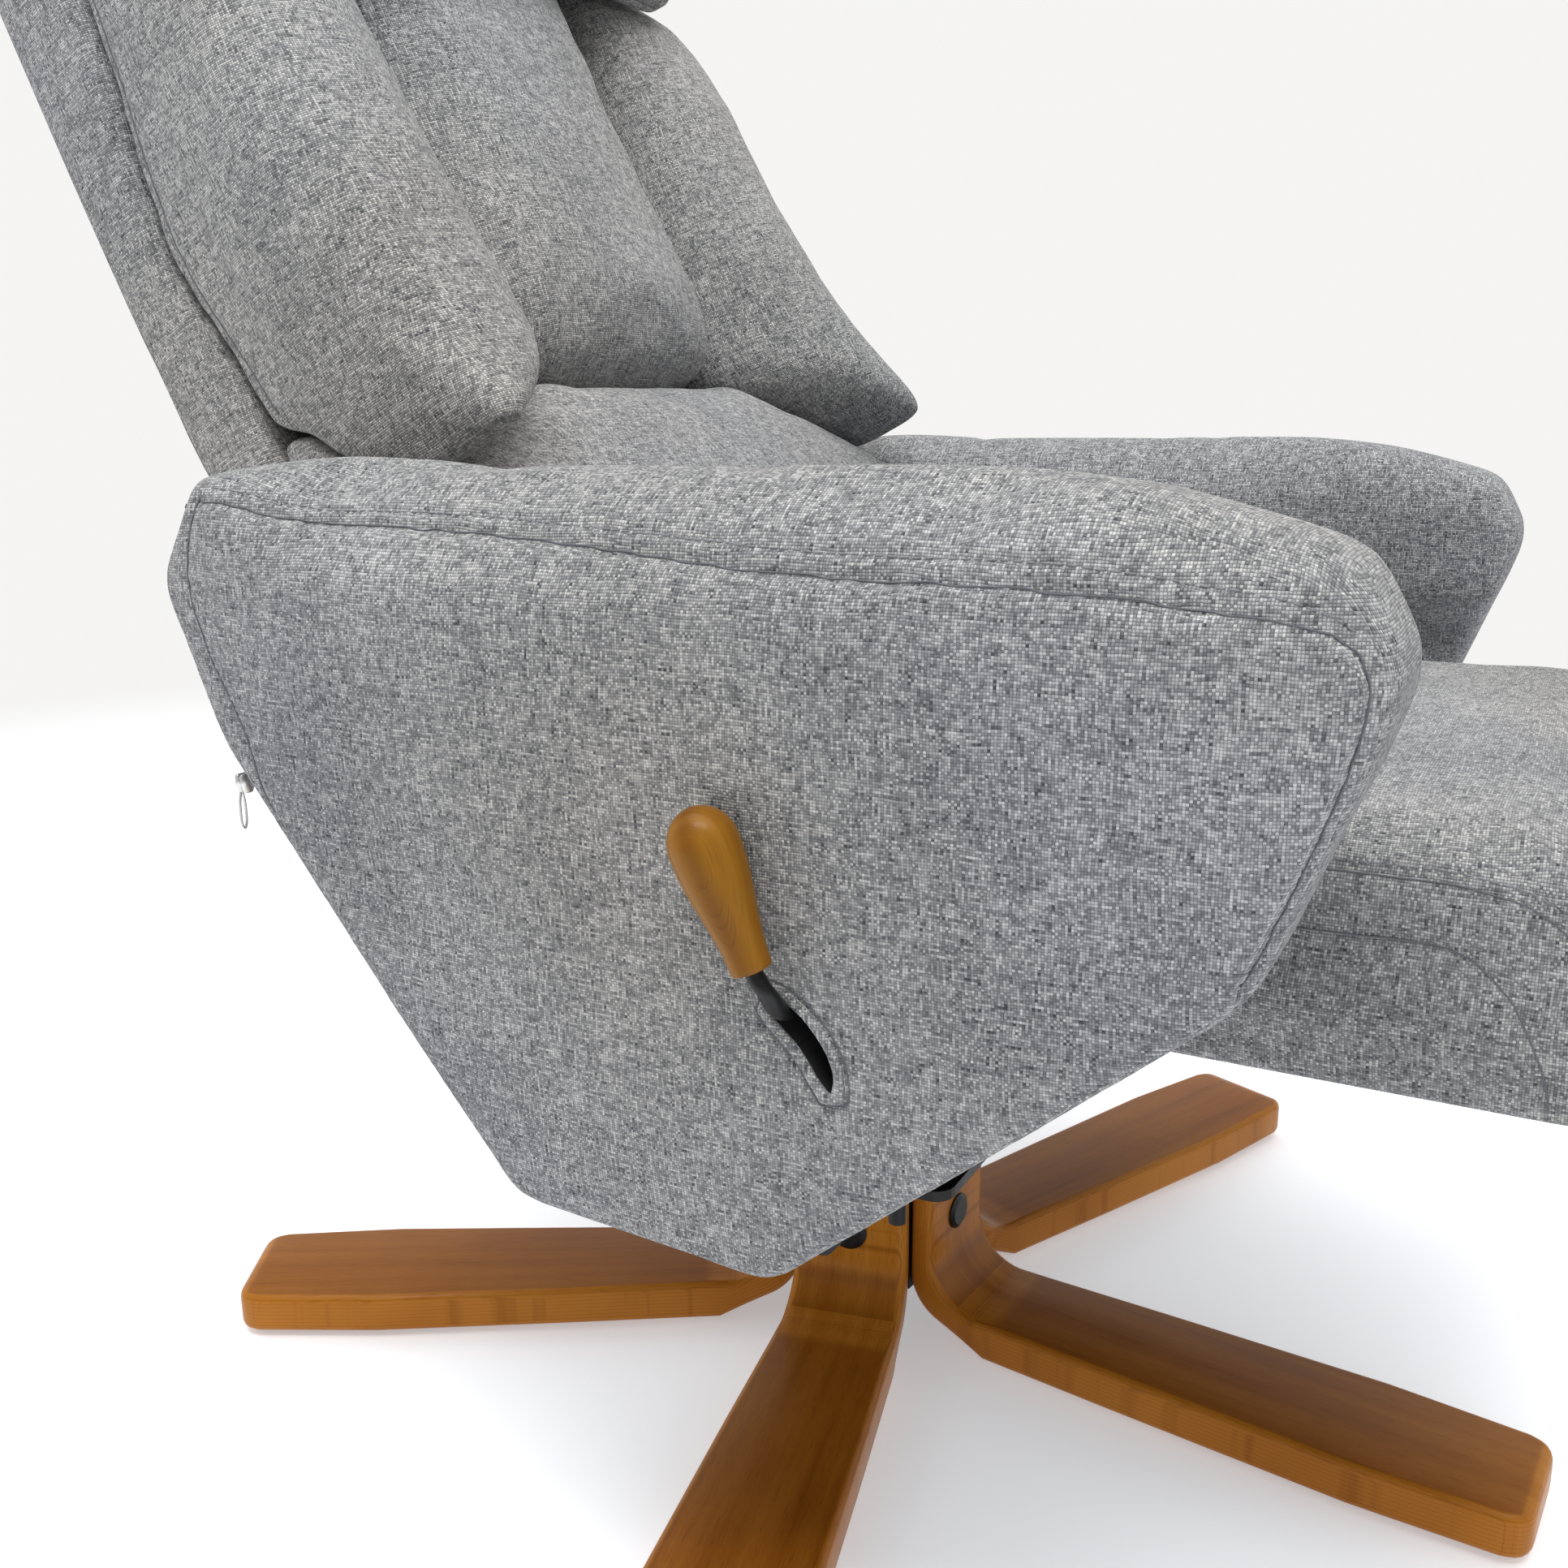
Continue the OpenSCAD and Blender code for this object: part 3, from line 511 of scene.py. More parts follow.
def woven(name, pitch, dark, middle, light, tilt=0.0):
    """Plain-weave cloth of slubby mixed yarns; tilt turns the weave with a leaned part."""
    g = Graph(name)
    coordinates = g.node("TexCoord")
    place, facing = coordinates.outputs["Object"], coordinates.outputs["Normal"]
    if tilt:
        spin = {"Axis": (1, 0, 0), "Angle": tilt}
        place = g.node("VectorRotate", {"Vector": place, **spin}).outputs[0]
        facing = g.node("VectorRotate", {"Vector": facing, **spin}).outputs[0]
    # A point takes the weave of the plane that it faces most, with a dithered border between planes
    dither = g.scaled(g.node("TexNoise", {"Vector": place, "Scale": 90.0}).outputs[1], 0.35)
    normal = g.node("SeparateXYZ", {0: g.vector("ADD", g.vector("ABSOLUTE", facing), dither)}).outputs
    along_x = g.math("GREATER_THAN", normal[0], g.math("MAXIMUM", normal[1], normal[2]))
    along_z = g.math("GREATER_THAN", normal[2], g.math("MAXIMUM", normal[0], normal[1]))
    drift = g.node("TexNoise", {"Vector": place, "Scale": 26.0}).outputs[1]
    waver = g.scaled(g.vector("SUBTRACT", drift, (0.5, 0.5, 0.5)), 3.2 * pitch)
    x, y, z = g.node("SeparateXYZ", {0: g.vector("ADD", place, waver)}).outputs
    u = g.math("DIVIDE", g.between(along_x, x, y), pitch)
    v = g.math("DIVIDE", g.between(along_z, z, y), pitch)
    row_u, row_v = g.math("FLOOR", u), g.math("FLOOR", v)
    over = g.math("ABSOLUTE", g.math("MODULO", g.plus(row_u, row_v), 2.0))
    across_u = g.math("SINE", g.times(g.minus(u, row_u), math.pi))
    across_v = g.math("SINE", g.times(g.minus(v, row_v), math.pi))
    warp_high = g.times(across_u, g.math("POWER", across_v, 0.4))
    weft_high = g.times(across_v, g.math("POWER", across_u, 0.4))
    height = g.between(over, weft_high, warp_high)
    slub = 0.14
    warp = g.noise(g.join(g.times(row_u, 17.3), g.times(v, slub)), 1.0, 2.5, 0.7)
    weft = g.noise(g.join(g.times(u, slub), g.times(row_v, 13.7), 40.0), 1.0, 2.5, 0.7)
    upper = g.between(over, weft, warp)
    darker = g.math("MINIMUM", warp, weft)
    yarn = g.plus(g.times(upper, 0.8), g.times(darker, 0.23))
    fleck = g.node("TexWhiteNoise", {"Vector": g.join(row_u, row_v)}, noise_dimensions="2D").outputs[0]
    patch = g.noise(place, 7.0, 3.0, 0.6)
    tone = g.plus(yarn, g.times(g.minus(fleck, 0.5), 0.1))
    tone = g.plus(tone, g.times(g.minus(patch, 0.5), 0.16))
    colour = g.ramp(tone, (0.29, dark), (0.48, middle), (0.66, light))
    # Darker where the weave is low: painted shade in the hollows between the yarns.
    shade = g.ramp(height, (0.0, (0.5, 0.5, 0.5)), (0.75, (1.0, 1.0, 1.0)))
    warmth = g.ramp(g.noise(place, 3.1, 1.0), (0.35, (0.97, 0.99, 1.03)), (0.65, (1.03, 1.0, 0.965)))
    colour = g.mix(1.0, colour, shade, "MULTIPLY")
    colour = g.mix(1.0, colour, warmth, "MULTIPLY")
    fuzz = g.noise(place, 2600.0, 1.0)
    g.bump(g.plus(height, g.times(fuzz, 0.3)), 0.8, 0.5 * pitch)
    return g.set(colour=colour, roughness=0.92, sheen=0.12, sheen_roughness=0.5, specular=0.25)


def lacquered(name, pale, amber, brown, attribute=True):
    """Stained and lacquered birch. The grain attribute holds the place along, across and through a piece, in
    metres."""
    g = Graph(name)
    if attribute:
        grain = g.node("Attribute", attribute_name="grain").outputs["Vector"]
    else:
        grain = g.node("TexCoord").outputs["Object"]
    along, across, through = g.node("SeparateXYZ", {0: grain}).outputs
    streak = g.noise(g.join(g.times(along, 3.0), g.times(across, 60.0), through), 1.0, 4.0, 0.6)
    pores = g.noise(g.join(g.times(along, 70.0), g.times(across, 1400.0), through), 1.0, 2.0)
    cloud = g.noise(grain, 9.0, 2.0)
    tone = g.plus(g.times(streak, 0.6), g.times(cloud, 0.4))
    colour = g.ramp(tone, (0.3, brown), (0.5, amber), (0.7, pale))
    pore_shade = g.ramp(pores, (0.32, (0.72, 0.66, 0.6)), (0.46, (1, 1, 1)))
    colour = g.mix(0.7, colour, pore_shade, "MULTIPLY")
    if attribute:
        ply = g.math("FRACT", g.math("DIVIDE", through, 0.0026))
        ply = g.math("ABSOLUTE", g.minus(ply, 0.5))
        bare, glued, stained = (1, 1, 1), (0.62, 0.55, 0.48), (0.86, 0.82, 0.76)
        glue = g.ramp(ply, (0.02, glued), (0.12, bare), (0.44, bare), (0.5, stained))
        colour = g.mix(0.8, colour, glue, "MULTIPLY")
    g.bump(pores, 0.12, 0.0004)
    rough = g.remap(streak, 0.3, 0.7, 0.26, 0.38)
    return g.set(colour=colour, roughness=rough, coat=0.05, coat_roughness=0.12, specular=0.12)


def painted(name, colour, roughness=0.45, grit=900.0):
    """Powder-coated steel or moulded black plastic: fine pebbled skin with faint scuffs."""
    g = Graph(name)
    place = g.node("TexCoord").outputs["Object"]
    pebble = g.noise(place, grit, 2.0)
    scuff = g.noise(place, 24.0, 4.0, 0.65)
    worn = tuple(min(1.0, 1.6 * c + 0.002) for c in colour)
    shade = g.ramp(scuff, (0.45, colour), (0.78, worn))
    g.bump(pebble, 0.25, 0.0003)
    rough = g.remap(scuff, 0.3, 0.7, roughness - 0.07, roughness + 0.12)
    return g.set(colour=shade, roughness=rough, specular=0.3)


def plated(name, colour, roughness=0.28):
    """Zinc or nickel plated steel: brushed sheen with cloudy tint."""
    g = Graph(name)
    place = g.node("TexCoord").outputs["Object"]
    cloud = g.noise(place, 40.0, 3.0)
    brush = g.noise(g.vector("MULTIPLY", place, (2200.0, 130.0, 130.0)), 1.0, 2.0)
    dull = tuple(0.72 * c for c in colour)
    shade = g.ramp(cloud, (0.35, dull), (0.65, colour))
    g.bump(brush, 0.1, 0.0002)
    rough = g.remap(brush, 0.3, 0.7, roughness - 0.06, roughness + 0.1)
    return g.set(colour=shade, roughness=rough, metallic=1.0)


def matted(name, colour, scale=1400.0):
    """Non-woven or narrow-woven dull cloth, thread and nylon."""
    g = Graph(name)
    place = g.node("TexCoord").outputs["Object"]
    fibre = g.noise(place, scale, 3.0, 0.7)
    dark = tuple(0.6 * c for c in colour)
    pale = tuple(min(1.0, 1.35 * c) for c in colour)
    g.bump(fibre, 0.4, 0.0003)
    return g.set(colour=g.ramp(fibre, (0.35, dark), (0.65, pale)), roughness=0.85, specular=0.3)


YARN = 0.00115
CLOTH = ((0.048, 0.052, 0.06), (0.258, 0.264, 0.269), (0.6, 0.598, 0.587))
upright_cloth = woven("cloth_upright", YARN, *CLOTH)
leaned_cloth = woven("cloth_leaned", YARN, *CLOTH, tilt=LEAN)
seam_thread = matted("thread", (0.13, 0.135, 0.15), 2600.0)
top_thread = matted("top_thread", (0.22, 0.225, 0.24), 2600.0)
# Near-black for the faces sunk behind the lever's slit: painted shade for the dark inside of the arm.
painted_slot_shade = matted("painted_slot_shade", (0.006, 0.006, 0.007))
dust_cloth = matted("dust_cloth", (0.02, 0.02, 0.022), 700.0)
zip_cloth = matted("zip_cloth", (0.1, 0.105, 0.11), 2600.0)
leg_wood = lacquered("leg_wood", (0.5, 0.2, 0.026), (0.4, 0.145, 0.014), (0.27, 0.085, 0.007))
handle_wood = lacquered("handle_wood", (0.3, 0.14, 0.014), (0.24, 0.1, 0.008), (0.17, 0.065, 0.005))
ply_wood = lacquered("ply_wood", (0.72, 0.52, 0.31), (0.62, 0.42, 0.23), (0.48, 0.3, 0.15), attribute=False)
black_steel = painted("black_steel", (0.004, 0.004, 0.0045), 0.4)
black_plastic = painted("black_plastic", (0.005, 0.005, 0.0055), 0.38, 1500.0)
zinc_steel = plated("zinc_steel", (0.62, 0.63, 0.66))
zip_metal = plated("zip_metal", (0.66, 0.66, 0.64), 0.34)
nylon = painted("nylon", (0.72, 0.7, 0.64), 0.5, 1500.0)

SLOT_MATERIALS = {
    "leg_wood": leg_wood, "frame_wood": ply_wood, "black_steel": black_steel, "zinc_steel": zinc_steel,
    "black_plastic": black_plastic, "nylon": nylon, "upholstery": upright_cloth, "dust_cloth": dust_cloth,
    "zip_tape": zip_cloth, "zip_metal": zip_metal,
}


def dress(obj, *materials):
    obj.data.materials.clear()
    for m in materials:
        obj.data.materials.append(m)


def finish_piece(obj, body, slot, *replaced):
    """The lines that every piece needs: what it rides on, and the CAD nodes that it stands for, which are
    hidden. slot is not used.
    """
    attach(obj, body)
    if replaced:
        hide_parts(*replaced)
    return obj


def piece(name, shape, material, body, slot, *replaced):
    """A whole piece from its (vertices, faces) and one material."""
    obj = make(name, *shape)
    dress(obj, material)
    return finish_piece(obj, body, slot, *replaced)


def dress_frame():
    """Gives each CAD node the material of the record's slot that holds it."""
    for row in frame["record"]["subparts"]:
        dress(nodes[row["node"]], SLOT_MATERIALS[row["material_slot"]])


# ---------------------------------------------------------------- star base

def leg_stations():
    """Pairs of (top, bottom) points in radius and height, from the head of the upright to the tip."""
    tops = [(LEG_OUTER, z) for z in np.linspace(LEG_HEIGHT, 63.5, 7)[:-1]]
    bottoms = [(HUB_FLAT, z) for z in np.linspace(LEG_HEIGHT, 48, 7)[:-1]]
    bend = arc((98.5, 63.5), 33.5, 180, 270, 14)
    toe = [[76.5, 16.7], [86, 12.4], [95, 8.2], [104, GLIDE]]
    under = np.concatenate([arc((80, 48), 30, 180, 245, 10), toe])
    tops += bend.tolist()
    bottoms += under.tolist()
    for r in np.linspace(116, LEG_REACH - LEG_TIP, 16):
        tops.append((r, LEG_TOP))
        bottoms.append((r, GLIDE))
    return np.array(tops), np.array(bottoms)


def leg_half_width(r):
    return np.interp(r, [HUB_FLAT, 200, LEG_REACH - 90, LEG_REACH], [36, 41.5, 45, 40.5])


def leg_mesh():
    """One leg along +X: rounded-edge section swept down the upright, round the bend and out to the tip."""
    tops, bottoms = leg_stations()
    length = np.concatenate([[0], np.cumsum(np.linalg.norm(np.diff((tops + bottoms) / 2, axis=0), axis=1))])
    stations = [(t, b, s, leg_half_width(max(t[0], b[0])), 0.0) for t, b, s in zip(tops, bottoms, length)]
    tip_half = leg_half_width(LEG_REACH)
    for a in np.radians([15, 30, 45, 60, 75, 88]):
        out, inset = np.array([LEG_TIP * math.sin(a), 0]), 1 - math.cos(a)
        stations.append((tops[-1] + out, bottoms[-1] + out, length[-1] + out[0],
                         tip_half - LEG_TIP * inset, 5 * inset**2))
    rings, grains = [], []
    edge, turns = 5.0, 5
    for top, bottom, s, half, inset in stations:
        thick = top - bottom
        depth = np.linalg.norm(thick)
        low, high = inset, depth - inset
        r = min(edge, (high - low) / 2 - 0.2)
        corners = [(half - r, high - r, 0), (-half + r, high - r, 90), (-half + r, low + r, 180),
                   (half - r, low + r, 270)]
        ring = np.concatenate([arc((w, t), r, a, a + 90, turns) for w, t, a in corners])
        flat = bottom + ring[:, 1:] * (thick / depth)
        rings.append(np.stack([flat[:, 0], ring[:, 0], flat[:, 1]], axis=1))
        grains.append(np.stack([np.full(len(ring), s), ring[:, 0], ring[:, 1]], axis=1))
    faces = [(f[0], *f[:0:-1]) for f in tube_faces(len(rings), len(rings[0]))]
    return np.concatenate(rings), faces, np.concatenate(grains)


def give_grain(obj, grain):
    """Stores the grain places, in metres, on the points of the mesh."""
    attribute = obj.data.attributes.new("grain", "FLOAT_VECTOR", "POINT")
    attribute.data.foreach_set("vector", (np.asarray(grain) * MM).astype(np.float32).ravel())


def build_legs():
    vertices, faces, grain = leg_mesh()
    for i, name in enumerate(LEG_NAMES):
        a = math.radians(BASE_TURN + 72 * i)
        turn = np.array([[math.cos(a), -math.sin(a), 0], [math.sin(a), math.cos(a), 0], [0, 0, 1]])
        obj = piece("bentwood_" + name, (vertices @ turn.T, faces), leg_wood, "base", "leg_wood", name)
        give_grain(obj, grain + np.array([900.0 * i, 37.0 * i, 1.3]))


# ---------------------------------------------------------------- upholstery

def arm_field(side):
    """Field of one upholstered arm: a deep roll at the top over a thinner panel; side is -1 or 1."""
    outline = rounded(ARM_OUTLINE, ARM_RADII)
    plan = rounded(rectangle(ROLL_IN, -350, ARM_OUT, 214), [34, 46, 22, 22])

    def field(x, y, z):
        x = x * side
        profile = in_outline(outline, y, z)
        deep = np.clip(-profile, 0, 80)
        outer = ARM_OUT - 7 + 6 * (1 - np.exp(-deep / 24)) - 3 * (1 - ease(z, 235, 330))
        inner = PANEL_IN - (PANEL_IN - ROLL_IN) * ease(z, 434, 470)
        radius = 8 + 22 * ease(z, 455, 540) * (1 - 0.75 * ease(y, 90, 170))
        slab = np.maximum(x - outer, inner - x)
        return both(both(profile, slab, radius), in_outline(plan, x, y), 6)

    low, high = sorted((side * ROLL_IN, side * ARM_OUT))
    return field, (low, -350, 230), (high, 212, 566)


def seat_field():
    """Field of the seat: a crowned top over sides drawn in at the welt, with a rolled front."""
    under = SEAT_UNDER - 0.4
    side = rounded(rectangle(SEAT_FRONT, under, SEAT_REAR, SEAT_TOP), [32, 6, 22, 52])
    plan = rounded(rectangle(-SEAT_HALF, SEAT_FRONT, SEAT_HALF, SEAT_REAR), [46, 46, 14, 14])

    def field(x, y, z):
        crown = 7 * (1 - (x / SEAT_HALF) ** 2) * ease(SEAT_REAR - y, 0, 120)
        pulled = 5 * np.clip(1 - ((z - 385) / 60) ** 2, 0, 1) - 4
        across = np.abs(x) - (SEAT_HALF - 4 + pulled)
        top = z - (SEAT_TOP - 3 + crown * 0.5)
        body = both(in_outline(side, y, np.minimum(z, SEAT_TOP - 1)), top, 20)
        return both(both(body, across, 6 + 16 * ease(z, 335, 385)), in_outline(plan, x, y), 8)

    return field, (-SEAT_HALF, SEAT_FRONT, SEAT_UNDER), (SEAT_HALF, SEAT_REAR, SEAT_TOP + 8)


def fold(v):
    """Height of the wings' lower edge at depth v."""
    return np.interp(v, FOLD[:, 0], FOLD[:, 1])


def side_seam(u):
    """Depth of the seam between a wing and the shell at height u."""
    heights = [200, 221, 252, 276, 299, 325, 378, 407, 451, 560]
    return np.interp(u, heights, [15, 15, 19, 24, 30, 33, 27, 21, 16, 15])


def shell_field():
    """Field of the back's shell, tapered towards the top and cut along the seam with the wings."""
    side = rounded([(15, 50), (38, -3), (64, -4), (71, 12), (74, 210), (88, 390), (88, 680), (60, 690),
                    (15, 682)],
                   [4, 10, 8, 12, 200, 200, 24, 12, 6])
    front = rounded([(-BACK_HALF, -10), (BACK_HALF, -10), (BACK_HALF, 560), (200, BACK_LEN),
                     (-200, BACK_LEN), (-BACK_HALF, 560)], [16, 16, 60, 60, 60, 60])
    plan = rounded(rectangle(-BACK_HALF, 10, BACK_HALF, 88), [5, 5, 26, 26])

    def field(x, v, u):
        body = both(in_outline(side, v, u), in_outline(front, x, u), 10)
        body = both(body, in_outline(plan, x, v), 4)
        return both(body, side_seam(u) + 0.8 - v, 7)

    return field, (-BACK_HALF, 14, -8), (BACK_HALF, 90, BACK_LEN + 2)


def lumbar_field():
    """Field of the pad across the small of the back, tucked under the wings along the fold."""
    side = rounded([(14, 36), (-62, 22), (-95, 50), (-98, 120), (-58, 216), (14, 216)],
                   [2, 18, 30, 60, 14, 2])
    front = rounded([(-252, 20), (252, 20), (253, 141), (176, 185), (110, 215),
                     (-110, 215), (-176, 185), (-253, 141)], [20, 20, 10, 50, 40, 40, 50, 10])

    def field(x, v, u):
        crown = 10 * (x / 244) ** 2 - 5
        below = np.maximum(np.maximum(np.abs(x) - 253, 22 - u), (u - fold(v) + 1.5) * 0.7)
        region = np.minimum(in_outline(front, x, u), below)
        return both(in_outline(side, v - crown, u), region, 14)

    return field, (-254, -106, 18), (254, 15, 218)


def wing_field(side):
    """Field of one side pad of the back: it rises from the centre pad to a ridge at its outer edge."""
    outline = rounded([(256, 136), (257, 470), (222, 541), (140, 541), (120, 300), (114, 218), (140, 201),
                       (178, 184)], [12, 60, 36, 10, 60, 4, 20, 40])
    heights = [131, 150, 169, 209, 267, 340, 422, 493, 520, 545]
    depths = [-134, -138, -133, -124, -111, -100, -92, -78, -62, -44]

    def field(x, v, u):
        x = x * side
        ridge = np.interp(u, heights, depths)
        share = np.clip((x - 112) / 104, 0, 1)
        front = -50 + (ridge + 50) * np.sin(share * math.pi / 2) - v
        body = both(in_outline(outline, x, u), front, 18 + 8 * ease(u, 150, 230))
        body = both(body, v - side_seam(u) + 0.8, 8)
        return both(body, (fold(v) - u) * 0.75, 10)

    edges = sorted((side * 110, side * 258))
    return field, (edges[0], -140, 130), (edges[1], 38, 544)


def centre_field():
    """Field of the tall pad between the wings."""
    outline = rounded([(-108, 214), (108, 214), (117, 260), (129, 549), (-129, 549), (-117, 260)],
                      [34, 34, 60, 12, 12, 60])

    def field(x, v, u):
        front = np.interp(u, [214, 260, 430, 550], [-76, -81, -73, -64]) + 12 * (x / 118) ** 2 - v
        return np.maximum(both(in_outline(outline, x, u), front, 26), v - 14.5)

    return field, (-130, -90, 212), (130, 16, 551)


def headrest_field():
    """Field of the headrest pillow, which hangs over the tops of the pads below it."""
    side = rounded([(-108, 494), (-74, 494), (-74, 550), (14, 550), (14, 664), (-40, 672), (-108, 650)],
                   [17, 12, 4, 3, 24, 34, 44])

    def field(x, v, u):
        bow = 8 * (x / 215) ** 2
        return both(in_outline(side, v - bow, u), np.abs(x) - 219 + 6 * ((u - 580) / 90) ** 2, 26)

    return field, (-220, -112, 492), (220, 16, 675)


def soft(name, made_from, step, place=None):
    """A soft piece's first mesh from its field, placed in the chair's frame."""
    field, low, high = made_from
    vertices, faces = surface(field, low, high, step)
    obj = make(name, vertices if place is None else place(vertices), faces)
    relax(obj, 2, 0.4)
    return obj


def held_side(side):
    """Holds an arm's inner parts and its outline; the outer face is free to swell."""
    outline = rounded(ARM_OUTLINE, ARM_RADII)

    def held(points):
        edge = in_outline(outline, points[:, 1], points[:, 2]) > -16
        inner = points[:, 0] * side < PANEL_IN + 3
        return (edge | inner) & (points[:, 2] < 455)

    return held


def held_below(z):
    """Holds the part of a cover that lies below the height z."""
    def held(points):
        return points[:, 2] < z

    return held


def held_behind(v):
    """Holds the part of a back pad that lies behind v in the back's own frame."""
    def held(points):
        c, s = math.cos(LEAN), math.sin(LEAN)
        depth = (points[:, 1] - HINGE[0]) * c - (points[:, 2] - HINGE[1]) * s
        return depth > v

    return held


def cover_plans():
    """For each cover: name, field, step of its mesh, most swelling, held part, body, fill and CAD nodes."""
    plans = []
    for side, hand in HANDS:
        plans.append(("arm_cover_" + hand, arm_field(side), 5.0, 9, held_side(side), "chassis", 0.7,
                      ["arm_panel_" + hand, "arm_roll_" + hand]))
    plans += [
        ("seat_cover", seat_field(), 6.0, 7, held_below(SEAT_UNDER + 22), "seat", 0.7, ["seat_cushion"]),
        ("back_cover", shell_field(), 6.0, 3, held_behind(-60), "back", 0.8, ["back_shell"]),
        ("lumbar_cover", lumbar_field(), 5.0, 7, held_behind(2), "back", 0.6, ["lumbar_pad"]),
    ]
    for side, hand in HANDS:
        plans.append(("wing_cover_" + hand, wing_field(side), 5.0, 6, held_behind(-4), "back", 0.6,
                      ["wing_pad_" + hand]))
    plans += [
        ("centre_cover", centre_field(), 5.0, 7, held_behind(2), "back", 0.6, ["centre_pad"]),
        ("headrest_cover", headrest_field(), 5.0, 7, held_behind(-10), "back", 0.6, ["headrest_pillow"]),
    ]
    return plans


def build_covers(plans):
    """All upholstered pieces, swollen together in one simulation and refined. Returns them by name."""
    made = {name: soft(name, field, step, leaned if body == "back" else None)
            for name, field, step, _, _, body, _, _ in plans}
    swell([(made[name], cap, held) for name, _, _, cap, held, _, _, _ in plans])
    for obj in made.values():
        relax(obj, 1, 0.5)
        refine(obj)
    return made


def finish_covers(made, plans):
    for name, _, _, _, _, body, fill, stood_for in plans:
        dress(made[name], leaned_cloth if body == "back" else upright_cloth)
        finish_piece(made[name], body, "upholstery", *stood_for)


def press_row(obj, line, depth):
    """Presses the shallow groove of a row of topstitches. Returns the row on the cloth."""
    row = laid_on(tree_of(obj), line, 0.0)
    carve(obj, row, depth, 2.2)
    return row


def topstitch_row(name, obj, row, body):
    thread = stitches(laid_on(tree_of(obj), row, 0.1), 0.5, 3.2, 1.6)
    piece(name, thread, top_thread, body, "upholstery")


def sew(obj, points, name, body, cloth_depth, width, place=None, topstitch=None):
    """A sewn seam along the points: a groove, its thread, and an optional row of topstitches beside it.
    topstitch is the sideways step, in millimetres, from the seam to the row, as a vector."""
    line = curve_through(points if place is None else place(points))
    line = laid_on(tree_of(obj), line, 0.0)
    carve(obj, line, cloth_depth, width)
    if topstitch is not None:
        row = press_row(obj, line + np.array(topstitch, float), 1.1)
    piece(name, sweep(laid_on(tree_of(obj), line, 0.1), 0.45, sides=6), seam_thread, body, "upholstery")
    if topstitch is not None:
        topstitch_row(name + "_topstitch", obj, row, body)


def at_x(x, *points):
    """Points (x, y, z) from their (y, z)."""
    return [(x, y, z) for y, z in points]


def build_arm_seams(made):
    """The seam along the outer edge of each arm's top and down its front, its topstitch, and the seam beside
    the zip."""
    for side, hand in HANDS:
        cover = made["arm_cover_" + hand]
        x, edge, top = side * (ARM_OUT - 4), side * (ARM_OUT - 7), side * (ARM_OUT - 9)
        line = at_x(x, (168, 552), (120, 551), (60, 550), (0, 546), (-74, 538), (-126, 533), (-205, 530),
                    (-262, 528), (-302, 525))
        line += at_x(edge, (-331, 519), (-342, 508), (-343, 494), (-339, 478), (-333, 462), (-322, 434),
                     (-306, 398))
        sew(cover, line, "arm_seam_" + hand, "chassis", 2.6, 3.4)
        beside = at_x(x, (170, 553), (176, 536), (177, 515), (171, 486), (161, 466), (150, 442),
                      (146, 418), (141, 408))
        sew(cover, beside, "zip_seam_" + hand, "chassis", 1.8, 2.6)
        line = at_x(top, (164, 558), (60, 557), (0, 553), (-74, 546), (-126, 541), (-205, 538), (-262, 535),
                    (-306, 530), (-334, 522))
        row = press_row(cover, curve_through(line), 1.3)
        topstitch_row("arm_topstitch_" + hand, cover, row, "chassis")


def build_seat_seams(cover):
    """Two seams along each side of the seat that turn down at its front."""
    for side, hand in HANDS:
        x = side * SEAT_HALF
        upper = at_x(x, (84, 416), (-120, 418), (-305, 419), (-352, 417), (-388, 402), (-410, 376),
                     (-420, 345), (-420, 322))
        lower = at_x(x, (84, 384), (-120, 385), (-301, 386), (-338, 387), (-366, 382), (-385, 362),
                     (-394, 337), (-396, 322))
        sew(cover, upper, "seat_seam_upper_" + hand, "seat", 1.8, 3.5, topstitch=(0, 0, 6))
        sew(cover, lower, "seat_seam_lower_" + hand, "seat", 1.8, 3.5)


def build_back_seams(made):
    """A seam near each rear edge of the shell, one along each wing, and one across the headrest."""
    for side, hand in HANDS:
        near = side * (BACK_HALF - 8)
        far = at_x(near, (66, 10), (69, 200), (82, 400), (82, 540))
        far += [(side * 238, 82, 590), (side * 206, 82, 650), (side * 176, 82, 684)]
        sew(made["back_cover"], far, "back_seam_" + hand, "back", 1.2, 3.0, place=leaned)
        wing = at_x(side * BACK_HALF, (4, 216), (8, 240), (20, 290), (22, 340), (10, 440))
        wing += [(side * 254, 4, 500), (side * 238, 2, 530)]
        sew(made["wing_cover_" + hand], wing, "wing_seam_" + hand, "back", 1.6, 3.0, place=leaned)
    brow = [(x, -84, 492) for x in (-200, -100, 0, 100, 200)]
    sew(made["headrest_cover"], brow, "headrest_seam", "back", 2.0, 3.5, place=leaned)


def slot_ring(grow):
    """Outline of the lever's slit in Y and Z, grown by that much: wide at the rod, pointed at the end."""
    t = np.linspace(0, 1, 24)
    spare = math.degrees(grow / SLOT_R)
    angles = np.radians(SLOT_FROM - 5 - spare + t * (SLOT_TO - SLOT_FROM + 5 + 2 * spare))
    width = [1.6, 3.6, 4.8, 5.5, 4.9, 3.9, 2.2, 0.4]
    half = np.interp(t, [0, 0.05, 0.12, 0.3, 0.6, 0.8, 0.92, 1.0], width) + grow
    around = np.stack([np.cos(angles), np.sin(angles)], axis=1)
    outer = np.array(PIVOT) + (SLOT_R + half)[:, None] * around
    inner = np.array(PIVOT) + (SLOT_R - half)[:, None] * around
    return np.concatenate([outer, inner[::-1]])


